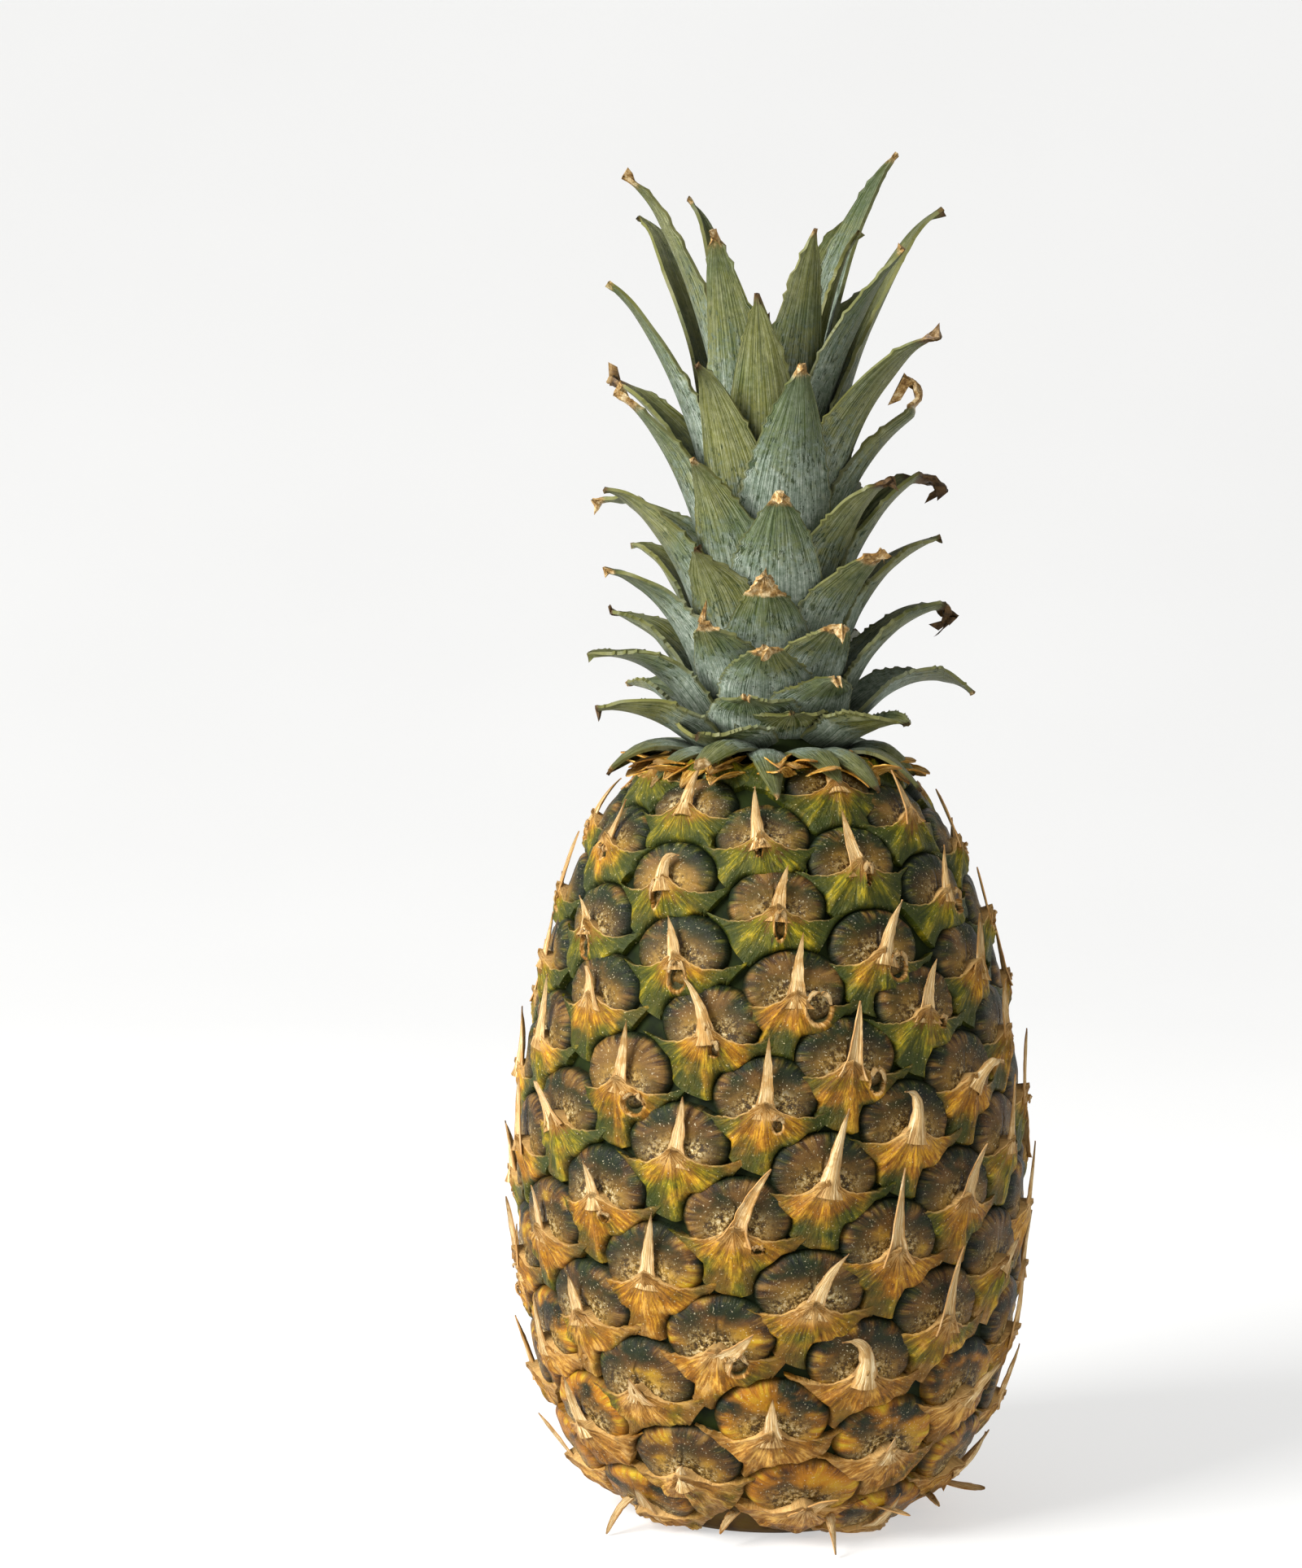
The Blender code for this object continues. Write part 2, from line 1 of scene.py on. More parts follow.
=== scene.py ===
# %% [markdown]
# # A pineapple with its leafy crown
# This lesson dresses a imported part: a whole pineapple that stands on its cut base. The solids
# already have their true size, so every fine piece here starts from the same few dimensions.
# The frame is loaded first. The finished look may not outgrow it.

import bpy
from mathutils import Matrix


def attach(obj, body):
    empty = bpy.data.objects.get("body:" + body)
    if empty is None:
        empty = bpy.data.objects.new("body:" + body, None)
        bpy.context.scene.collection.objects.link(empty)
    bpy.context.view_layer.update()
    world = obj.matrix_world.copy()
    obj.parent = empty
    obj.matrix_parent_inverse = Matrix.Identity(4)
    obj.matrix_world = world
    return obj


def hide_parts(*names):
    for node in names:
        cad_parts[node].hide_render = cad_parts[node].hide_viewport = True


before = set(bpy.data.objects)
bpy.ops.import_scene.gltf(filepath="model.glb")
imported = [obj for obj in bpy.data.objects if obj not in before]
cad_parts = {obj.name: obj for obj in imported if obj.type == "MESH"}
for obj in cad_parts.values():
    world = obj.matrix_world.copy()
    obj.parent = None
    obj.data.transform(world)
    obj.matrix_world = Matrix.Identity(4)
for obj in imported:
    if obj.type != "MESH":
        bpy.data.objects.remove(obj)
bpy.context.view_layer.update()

# %% Imports
import math
import random

import bmesh
import bpy
import numpy as np
from mathutils import Matrix, Vector, noise

# %% [markdown]
# ## The camera
# The fruit was photographed from a little above its middle with a short telephoto lens, about
# 0.8 m away. A camera that is only slightly tilted keeps the fruit's sides upright, so the
# place and the tilt are set as numbers and nothing tracks the object.

# %% Camera
CAMERA_PLACE = (-0.0300, -0.8000, 0.2182)
CAMERA_TILT = 2.64             # degrees down from level
CAMERA_LENS = 73.3             # mm, on a sensor whose long side is 36 mm


def make_camera():
    """The camera of the photograph."""
    lens = bpy.data.cameras.new("camera")
    lens.lens = CAMERA_LENS
    lens.sensor_width = 36.0
    camera = bpy.data.objects.new("camera", lens)
    camera.location = CAMERA_PLACE
    camera.rotation_euler = (math.radians(90.0 - CAMERA_TILT), 0.0, 0.0)
    bpy.context.scene.collection.objects.link(camera)
    bpy.context.scene.camera = camera
    return camera


camera = make_camera()
print("camera at", tuple(camera.location))

# %% [markdown]
# ## From a bmesh to a piece
# Every piece ends the same way: its mesh is shaded smooth, its object stays at the origin and
# rides on the one body that the part has. One helper does this, so that no piece is forgotten.

# %% Finish a piece
SHARP_ANGLE = 50.0             # degrees


def make_piece(shape, name, material, nodes=()):
    """Turn a bmesh into a finished piece that rides with the part."""
    mesh = bpy.data.meshes.new(name)
    shape.to_mesh(mesh)
    shape.free()
    mesh.shade_smooth()
    mesh.set_sharp_from_angle(angle=math.radians(SHARP_ANGLE))
    mesh.materials.append(material)
    piece = bpy.data.objects.new(name, mesh)
    bpy.context.scene.collection.objects.link(piece)
    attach(piece, "root")
    if nodes:
        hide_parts(*nodes)
    faces = sum(len(face.vertices) - 2 for face in mesh.polygons)
    print(f"{name}: {faces} triangles")
    return piece


# %% [markdown]
# ## Maths in a material
# A finish is mostly arithmetic: a mask times a noise, one minus another mask. Wiring Math
# nodes by hand hides that, so a small class wraps a socket and lets Python's operators add
# the nodes. Colours go through a Mix node, because a Math node would turn them grey.

# %% Signals
class Signal:
    """A socket on its way through a material. Maths on it adds a Math node."""

    def __init__(self, finish, socket):
        self.finish = finish
        self.socket = socket

    def maths(self, operation, *values):
        return self.finish.node("ShaderNodeMath", {"operation": operation}, list(values))

    def __add__(self, other):
        return self.maths("ADD", self, other)

    def __radd__(self, other):
        return self.maths("ADD", other, self)

    def __sub__(self, other):
        return self.maths("SUBTRACT", self, other)

    def __rsub__(self, other):
        return self.maths("SUBTRACT", other, self)

    def __mul__(self, other):
        return self.maths("MULTIPLY", self, other)

    def __rmul__(self, other):
        return self.maths("MULTIPLY", other, self)

    def __truediv__(self, other):
        return self.maths("DIVIDE", self, other)

    def __pow__(self, other):
        return self.maths("POWER", self, other)

    def __abs__(self):
        return self.maths("ABSOLUTE", self)


# %% Finishes
class Finish:
    """A material under construction, round one Principled shader."""

    def __init__(self, name, **fixed):
        self.material = bpy.data.materials.new(name)
        self.material.use_nodes = True
        self.tree = self.material.node_tree
        self.shader = self.tree.nodes["Principled BSDF"]
        for socket, value in fixed.items():
            self.feed(self.shader.inputs[socket.replace("_", " ")], value)

    def feed(self, socket, value):
        """Link a signal to a socket, or set the value on it."""
        if isinstance(value, Signal):
            self.tree.links.new(value.socket, socket)
        elif isinstance(value, tuple) and socket.type == "RGBA":
            socket.default_value = (*value, 1.0)
        else:
            socket.default_value = value

    def node(self, kind, settings=None, values=None, output=0):
        """Any node: its settings first, then its sockets by place or by name."""
        made = self.tree.nodes.new(kind)
        for name, value in (settings or {}).items():
            if name == "stops":
                self.set_stops(made.color_ramp, value)
            else:
                setattr(made, name, value)
        if isinstance(values, dict):
            for name, value in values.items():
                self.feed(made.inputs[name], value)
        else:
            shown = [socket for socket in made.inputs if socket.enabled]
            for socket, value in zip(shown, values or []):
                self.feed(socket, value)
        return Signal(self, made.outputs[output])

    def set_stops(self, ramp, stops):
        while len(ramp.elements) < len(stops):
            ramp.elements.new(1.0)
        for element, (position, colour) in zip(ramp.elements, stops):
            element.position = position
            element.color = (*colour, 1.0)

    def parts(self, vector):
        """The three numbers of a vector."""
        return [self.node("ShaderNodeSeparateXYZ", {}, [vector], axis) for axis in range(3)]

    def attribute(self, name):
        """A vertex attribute as three signals."""
        return self.parts(self.node("ShaderNodeAttribute", {"attribute_name": name}, output=1))

    def place(self):
        """Object coordinates, in metres."""
        return self.node("ShaderNodeTexCoord", {}, [], output=3)

    def vector(self, x, y, z):
        return self.node("ShaderNodeCombineXYZ", {}, [x, y, z])

    def noise(self, vector, scale, detail=2.0, roughness=0.5):
        values = {"Vector": vector, "Scale": scale, "Detail": detail, "Roughness": roughness}
        return self.node("ShaderNodeTexNoise", {}, values)

    def band(self, signal, low, high, start=0.0, end=1.0):
        """A smooth step from start to end while the signal goes from low to high."""
        settings = {"interpolation_type": "SMOOTHSTEP"}
        return self.node("ShaderNodeMapRange", settings, [signal, low, high, start, end])

    def mix(self, share, first, second):
        """The first colour where the share is 0, and the second where it is 1."""
        return self.node("ShaderNodeMix", {"data_type": "RGBA"}, [share, first, second], 2)

    def ramp(self, signal, stops):
        """Colours at stops along a signal."""
        return self.node("ShaderNodeValToRGB", {"stops": stops}, [signal])

    def bump(self, height, distance):
        values = {"Height": height, "Distance": distance, "Strength": 1.0}
        self.feed(self.shader.inputs["Normal"], self.node("ShaderNodeBump", {}, values))

    def paint(self, **signals):
        """Feed the shader's own sockets."""
        for socket, value in signals.items():
            self.feed(self.shader.inputs[socket.replace("_", " ")], value)
        return self.material


# %% [markdown]
# ## The skin and its spiral
# A pineapple is some hundred and thirty small fruits grown together. They follow one spiral
# down the fruit, each 137.4 degrees on from the last, and each gets a little more skin than
# the one above. The body is a turned outline, and a place on it is an azimuth and a distance
# down that outline, so anything drawn for one fruitlet can be laid on the skin by a rule.

# %% Dimensions of the body
MM = 0.001
FRUIT_RADIUS = 0.0635
WIDEST_HEIGHT = 0.0833
LOWER_REACH = 0.0877           # from the widest height to where the outline would close
UPPER_REACH = 0.1101
LOWER_POWERS = (2.18, 3.56)    # the outline's roundness below and above that height
UPPER_POWERS = (1.715, 3.0)
SHOULDER_HEIGHT = 0.186
NECK_RADIUS = 0.021
NECK_HEIGHT = 0.1883
BASE_RADIUS = 0.031
SKIN_STEPS = 400
SLOPE_STEP = 0.0015            # the skin's slope is read this far to each side
FLOOR_CLEARANCE = 0.0004


def body_radius(height):
    """Radius of the fruit over its eyes, at a height above the base."""
    if height < WIDEST_HEIGHT:
        reach, (inner, outer) = (WIDEST_HEIGHT - height) / LOWER_REACH, LOWER_POWERS
    else:
        reach, (inner, outer) = (height - WIDEST_HEIGHT) / UPPER_REACH, UPPER_POWERS
    return FRUIT_RADIUS * (1.0 - reach ** inner) ** (1.0 / outer)


# %% The skin
class Skin:
    """The turned skin, measured down its outline from the neck to the base."""

    def __init__(self):
        side = [SHOULDER_HEIGHT + (FLOOR_CLEARANCE - SHOULDER_HEIGHT) * step / SKIN_STEPS
                for step in range(SKIN_STEPS + 1)]
        self.radii = np.array([NECK_RADIUS] + [body_radius(height) for height in side]
                              + [BASE_RADIUS])
        self.heights = np.array([NECK_HEIGHT] + side + [0.0])
        lengths = np.hypot(np.diff(self.radii), np.diff(self.heights))
        middles = (self.radii[1:] + self.radii[:-1]) / 2.0
        bands = 2.0 * math.pi * middles * lengths
        self.along = np.concatenate([[0.0], np.cumsum(lengths)])
        self.areas = np.concatenate([[0.0], np.cumsum(bands)]) - bands[0]
        self.length = float(self.along[-1])

    def down_to(self, area):
        """Distance down the outline that has this much skin between it and the shoulder."""
        return float(np.interp(area, self.areas, self.along))

    def radius(self, along):
        return float(np.interp(along, self.along, self.radii))

    def point(self, azimuth, along, out):
        """The point this far out of the skin."""
        ends = np.array([along - SLOPE_STEP, along, along + SLOPE_STEP])
        above, radius, below = np.interp(ends, self.along, self.radii)
        top, height, bottom = np.interp(ends, self.along, self.heights)
        slope = Vector((top - bottom, below - above)).normalized()
        reach = radius + slope.x * out
        level = max(height + slope.y * out, FLOOR_CLEARANCE)
        return Vector((reach * math.sin(azimuth), -reach * math.cos(azimuth), level))


skin = Skin()
print(f"skin: {skin.length * 1000:.0f} mm from neck to base")

# %% The fruitlets
FRUITLETS = 132
FRONT_FRUITLET = 57
FIRST_AREA = 565e-6            # square metres of skin above the first fruitlet
TOP_AREA = 431e-6              # of skin for the first fruitlet
AREA_GROWTH = 1.334e-6         # and more for each one after it
DIVERGENCE = 137.426           # degrees from one fruitlet to the next
FRONT_AZIMUTH = -3.6
TWIST = (11.9, -10.3)          # degrees that the spiral drifts, by square and by cube
TWIST_SPAN = 50.0              # over this many fruitlets
FRUITLET_STRAY = 0.0007        # that a fruitlet may stand off its place, each way
# Fruitlets that stand further off their place, in millimetres across and up
FRUITLET_MOVES = {13: (0, 2), 23: (2, 1), 28: (-2, -2), 31: (1, 0), 36: (-2, -2), 52: (-1, -2),
                  60: (0, -2), 73: (-1, -2), 78: (-1, -1), 81: (-1, -2), 86: (-2, -2),
                  94: (-2, -2), 104: (0, 2), 117: (-2, 1), 120: (-2, -1)}
STANDARD_AREA = 500e-6
COLLAR_BRACTS = 15
COLLAR_SIZE = 0.75
COLLAR_ALONG = 0.0048


def across_and_out(azimuth):
    """The directions across and outward at an azimuth, which is 0 in front."""
    across = Vector((math.cos(azimuth), math.sin(azimuth), 0.0))
    return across, Vector((across.y, -across.x, 0.0))


def half_turn(azimuth):
    """The same direction as an angle between minus and plus half a turn."""
    return (azimuth + math.pi) % (2.0 * math.pi) - math.pi


class Fruitlet:
    """One fruitlet: where the root of its spine lies on the skin, and its size."""

    def __init__(self, azimuth, along, size):
        self.azimuth = azimuth
        self.along = along
        self.radius = skin.radius(along)
        self.size = size
        self.level = along / skin.length

    def beside(self, across, up):
        """Azimuth and distance down the skin of a place beside the spine's root."""
        return self.azimuth + across * self.size / self.radius, self.along - up * self.size

    def seen_from(self, azimuth, along):
        """Where a place on the skin lies, across and up from the spine's root."""
        across = half_turn(azimuth - self.azimuth) * self.radius
        return across / self.size, (self.along - along) / self.size

    def point(self, across, up, out):
        """The point across and up from the spine's root, and out of the skin."""
        azimuth, along = self.beside(across, up)
        return skin.point(azimuth, along, out)


def spiral_of_fruitlets():
    """The fruitlets, one after another down the spiral."""
    draw = random.Random(5)
    fruitlets = []
    for count in range(FRUITLETS):
        from_front = count - FRONT_FRUITLET
        area = FIRST_AREA + TOP_AREA * count + AREA_GROWTH * count ** 2 / 2.0
        turn = FRONT_AZIMUTH - DIVERGENCE * from_front
        drift = from_front / TWIST_SPAN
        turn += TWIST[0] * drift ** 2 + TWIST[1] * drift ** 3
        size = math.sqrt((TOP_AREA + AREA_GROWTH * count) / STANDARD_AREA)
        place = Fruitlet(math.radians(turn), skin.down_to(area), 1.0)
        stray = [draw.uniform(-FRUITLET_STRAY, FRUITLET_STRAY) for _ in range(2)]
        across, up = [a + MM * b for a, b in zip(stray, FRUITLET_MOVES.get(count, (0, 0)))]
        azimuth, along = place.beside(across, up)
        fruitlets.append(Fruitlet(azimuth, along, size))
    return fruitlets


def collar_of_bracts(draw):
    """Small dry bracts in a ring under the crown."""
    collar = []
    for count in range(COLLAR_BRACTS):
        azimuth = 2.0 * math.pi * (count + draw.uniform(-0.2, 0.2)) / COLLAR_BRACTS
        along = COLLAR_ALONG + draw.uniform(-0.001, 0.001)
        collar.append(Fruitlet(azimuth, along, COLLAR_SIZE))
    return collar


solid_draw = random.Random(7)  # the draws that the solids share
collar = collar_of_bracts(solid_draw)
fruitlets = spiral_of_fruitlets()
print(f"fruitlets: {len(fruitlets)}, sizes {fruitlets[0].size:.2f} to {fruitlets[-1].size:.2f}")

# %% [markdown]
# ## The skin in the grooves
# Between the fruitlets the skin lies deeper and is dark green. It could be left out, since
# the fruitlets nearly close, but light would then fall through the gaps. One turned body
# lies under everything: its outline is a row of vertices that is spun once round.

# %% Groove finish
def groove_finish():
    finish = Finish("groove_skin", Roughness=0.7, Specular_IOR_Level=0.1)
    place = finish.place()
    blotch = finish.noise(place, 160.0, 3.0)
    height = finish.parts(place)[2]
    green = finish.ramp(blotch, [(0.35, (0.003, 0.006, 0.001)), (0.65, (0.012, 0.019, 0.002))])
    amber = finish.ramp(blotch, [(0.35, (0.050, 0.020, 0.002)), (0.65, (0.140, 0.066, 0.006))])
    finish.bump(blotch, 0.0006)
    low = finish.band(height + blotch * 0.04, 0.050, 0.020, 0.0, 0.7)
    return finish.paint(Base_Color=finish.mix(low, green, amber))


# %% Groove skin
GROOVE = -0.0026
STALK_RADIUS = 0.0125
STALK_DEPTH = 0.012
JOINT_GAP = 0.0003
RING_MARGIN = 0.006
GROOVE_ROWS = 60
GROOVE_SIDES = 96


def make_core():
    """The skin at the bottom of the grooves, closed at the neck and round the stalk."""
    outline = [Vector((0.0, 0.0, NECK_HEIGHT))]
    for row in range(GROOVE_ROWS + 1):
        along = skin.length * row / GROOVE_ROWS
        edge = min(1.0, min(along, skin.length - along) / RING_MARGIN)
        point = skin.point(0.0, along, GROOVE * edge)
        outline.append(Vector((-point.y, 0.0, point.z)))
    outline[-1].z = 0.0
    recess = STALK_RADIUS + JOINT_GAP
    top = STALK_DEPTH + JOINT_GAP
    outline += [Vector((recess, 0.0, 0.0)), Vector((recess, 0.0, top)), Vector((0.0, 0.0, top))]
    shape = bmesh.new()
    corners = [shape.verts.new(point) for point in outline]
    edges = [shape.edges.new(pair) for pair in zip(corners[:-1], corners[1:])]
    bmesh.ops.spin(shape, geom=corners + edges, cent=(0.0, 0.0, 0.0), axis=(0.0, 0.0, 1.0),
                   angle=2.0 * math.pi, steps=GROOVE_SIDES, use_merge=True)
    bmesh.ops.remove_doubles(shape, verts=shape.verts, dist=1e-6)
    bmesh.ops.recalc_face_normals(shape, faces=shape.faces)
    return make_piece(shape, "groove_skin", groove_finish(), ["fruit"])


make_core()

# %% [markdown]
# ## The eyes
# The upper half of each fruitlet is its eye: a flat-topped oval cushion with a ribbed rim.
# The middle is dusty and speckled round a navel, with a crease up from it where the sepals
# met. A profile spun round gives one cushion with a few rings, which is then laid on the skin
# once for each fruitlet. The ribs are too fine for faces, so they are bump and colour that
# follow the direction from the eye's centre.

# %% Eye finish
def eye_finish():
    finish = Finish("eye", Specular_IOR_Level=0.22)
    across, up, tone = finish.attribute("eye")
    level = finish.attribute("level")[0]
    place = finish.place()
    reach = (across * across + up * up + 0.0001) ** 0.5
    seed = tone * 37.0
    spokes = finish.vector(across / reach * 5.0, up / reach * 5.0, reach * 0.7 + seed)
    patch = finish.noise(finish.vector(across, up, seed), 1.5, 4.0)
    ribbed = finish.band(reach + (patch - 0.5) * 0.3, 0.58, 0.90, 0.12, 0.75)
    ribs = (finish.noise(spokes, 1.5, 3.0, 0.6) - 0.5) * ribbed + 0.5 + (patch - 0.5) * 0.5
    dust = finish.noise(place, 850.0, 5.0, 0.75)
    speck = finish.noise(place, 2100.0, 1.0)

    green = finish.ramp(ribs, [(0.38, (0.002, 0.005, 0.001)), (0.50, (0.015, 0.022, 0.002)),
                               (0.62, (0.090, 0.088, 0.010))])
    brown = finish.ramp(ribs, [(0.38, (0.009, 0.004, 0.001)), (0.50, (0.060, 0.025, 0.004)),
                               (0.66, (0.21, 0.110, 0.022))])
    golden = finish.ramp(ribs, [(0.36, (0.14, 0.042, 0.001)), (0.50, (0.40, 0.150, 0.002)),
                                (0.66, (0.52, 0.34, 0.012))])
    rim = finish.mix(finish.band(patch + level * 0.20, 0.50, 0.70), green, brown)
    ripe = finish.band(level + (patch - 0.5) * 0.9 + (tone - 0.5) * 0.25, 0.74, 0.95)
    rim = finish.mix(ripe * 0.9, rim, golden)

    low = up + 0.30
    from_navel = (across * across * 0.8 + low * low * 1.2 + 0.0001) ** 0.5
    warm = finish.ramp(patch, [(0.34, (0.028, 0.014, 0.002)), (0.50, (0.12, 0.056, 0.005)),
                               (0.66, (0.34, 0.19, 0.024))])
    inner = finish.band(from_navel + (patch - 0.5) * 0.9, 0.40, 0.92, 0.80, 0.0)
    colour = finish.mix(inner, rim, warm)
    middle = finish.ramp(dust, [(0.43, (0.034, 0.018, 0.003)), (0.50, (0.15, 0.085, 0.015)),
                                (0.56, (0.48, 0.34, 0.12)), (0.63, (0.88, 0.75, 0.46))])
    spread = from_navel + (patch - 0.5) * 0.9 + (dust - 0.5) * 1.2 - level * 0.10
    colour = finish.mix(finish.band(spread, 0.10, 0.72, 0.95, 0.0), colour, middle)
    sides = abs(across + (patch - 0.5) * 0.35)
    crease = finish.band(sides, 0.0, 0.06, 1.0, 0.0) * finish.band(up, 0.65, 0.1)
    colour = finish.mix(crease * 0.55, colour, (0.040, 0.028, 0.012))
    dots = finish.band(speck, 0.66, 0.74) * finish.band(reach, 1.05, 0.55, 0.15, 0.8)
    colour = finish.mix(dots * 0.7, colour, (0.70, 0.60, 0.38))
    edge = finish.band(reach, 0.88, 1.0)
    colour = finish.mix(edge * 0.9, colour, finish.mix(ripe, (0.004, 0.009, 0.002),
                                                       (0.12, 0.055, 0.004)))
    relief = ribs * finish.band(reach, 0.25, 0.85) + dust * 0.30 - crease * 0.5
    finish.bump(relief, 0.0011)
    return finish.paint(Base_Color=colour, Roughness=0.30 + dust * 0.40)


# %% Eye shape
EYE_HALF_WIDTH = 0.0127
EYE_HALF_HEIGHT = 0.0092
EYE_RISE = 0.0025
EYE_TOP = 0.0004
EYE_DISH = 0.0004
RIM_DEPTH = 0.0008             # the rim ends this far under the groove
NAVEL = (0.0030, 0.0025, 0.0009)  # half width, half height and depth
EYE_SIDES = 48
EYE_RINGS = (0.0, 0.16, 0.32, 0.46, 0.59, 0.70, 0.79, 0.86, 0.92, 0.97, 1.01, 1.04)
RIM_START = 0.74               # the cushion's top turns down from here
RIM_END = 1.045
SQUARENESS = 2.05              # 2 is an ellipse, more fills its corners


def smooth_step(value):
    value = min(max(value, 0.0), 1.0)
    return value * value * (3.0 - 2.0 * value)


def eye_height(reach):
    """Height of an eye over the skin: nearly flat, then round and steep at the rim."""
    turn = min(max((reach - RIM_START) / (RIM_END - RIM_START), 0.0), 1.0)
    fall = 1.0 - math.sqrt(1.0 - turn ** 2)
    return EYE_TOP - EYE_DISH * min(reach, 1.0) + (GROOVE - RIM_DEPTH) * fall


def eye_reach(across, up):
    """0 at an eye's centre and 1 on its outline."""
    wide = abs(across) / EYE_HALF_WIDTH
    high = abs(up - EYE_RISE) / EYE_HALF_HEIGHT
    return (wide ** SQUARENESS + high ** SQUARENESS) ** (1.0 / SQUARENESS)


def eye_cushion():
    """One flat cushion of rings, 1 in radius."""
    shape = bmesh.new()
    corners = [shape.verts.new((radius, 0.0, 0.0)) for radius in EYE_RINGS]
    edges = [shape.edges.new(pair) for pair in zip(corners[:-1], corners[1:])]
    bmesh.ops.spin(shape, geom=corners + edges, cent=(0.0, 0.0, 0.0), axis=(0.0, 0.0, 1.0),
                   angle=2.0 * math.pi, steps=EYE_SIDES, use_merge=True)
    bmesh.ops.remove_doubles(shape, verts=shape.verts, dist=1e-5)
    bmesh.ops.recalc_face_normals(shape, faces=shape.faces)
    mesh = bpy.data.meshes.new("eye_cushion")
    shape.to_mesh(mesh)
    shape.free()
    return mesh


# %% Lay copies of a small shape on the skin
def lay_copies(template, places, lay, layers):
    """One bmesh with a copy of the template for each place; lay sets each corner."""
    shape = bmesh.new()
    made = {name: shape.verts.layers.float_vector.new(name) for name in layers}
    for place in places:
        start = len(shape.verts)
        shape.from_mesh(template)
        shape.verts.ensure_lookup_table()
        for corner in shape.verts[start:]:
            corner.co, values = lay(place, corner.co.copy())
            for name, value in values.items():
                corner[made[name]] = value
    return shape


# %% Eyes
tone_draw = random.Random(11)
tones = {place: tone_draw.random() for place in fruitlets + collar}


def lay_eye(fruitlet, flat):
    """Place one corner of an eye's cushion."""
    tone = tones[fruitlet]
    radius = flat.xy.length
    turn = math.atan2(flat.y, flat.x)
    wide, high = math.cos(turn), math.sin(turn)
    outline = (abs(wide) ** SQUARENESS + abs(high) ** SQUARENESS) ** (-1.0 / SQUARENESS)
    wobble = noise.noise(Vector((wide, high, tone * 50.0)))
    lobes = noise.noise(Vector((wide * 4.0, high * 4.0, tone * 50.0)))
    grow = radius * outline * (1.0 + 0.03 * wobble + 0.012 * lobes)
    across = grow * wide * EYE_HALF_WIDTH
    up = EYE_RISE + grow * high * EYE_HALF_HEIGHT
    lump = noise.noise(Vector((across * 160.0, up * 160.0, tone * 90.0)))
    navel = math.exp(-((across / NAVEL[0]) ** 2 + ((up - 0.0005) / NAVEL[1]) ** 2))
    out = eye_height(radius) + 0.0006 * lump * min(1.0, 1.2 - radius) - NAVEL[2] * navel
    out += 0.0005 * lobes * smooth_step((radius - 0.3) / 0.5)
    place = fruitlet.point(across, up, out)
    values = {"eye": Vector((flat.x, flat.y, tone)),
              "level": Vector((fruitlet.level, 0.0, 0.0))}
    return place, values


def make_eyes():
    shape = lay_copies(eye_cushion(), fruitlets, lay_eye, ("eye", "level"))
    return make_piece(shape, "eyes", eye_finish(), ["fruit"])


make_eyes()

# %% [markdown]
# ## The bracts
# Under each eye grows a leathery bract. It hugs the lower half of its own eye, reaches out in
# two pointed wings, and runs down to a point between the eyes below, which press it in. It
# could be a star cut from a sheet, but its outline is made by its neighbours. So the sheet is
# a grid that is larger than the bract, and it dives into the groove wherever it comes near
# the eye of a neighbour. Many bracts are torn open under the spine, with a curled edge.

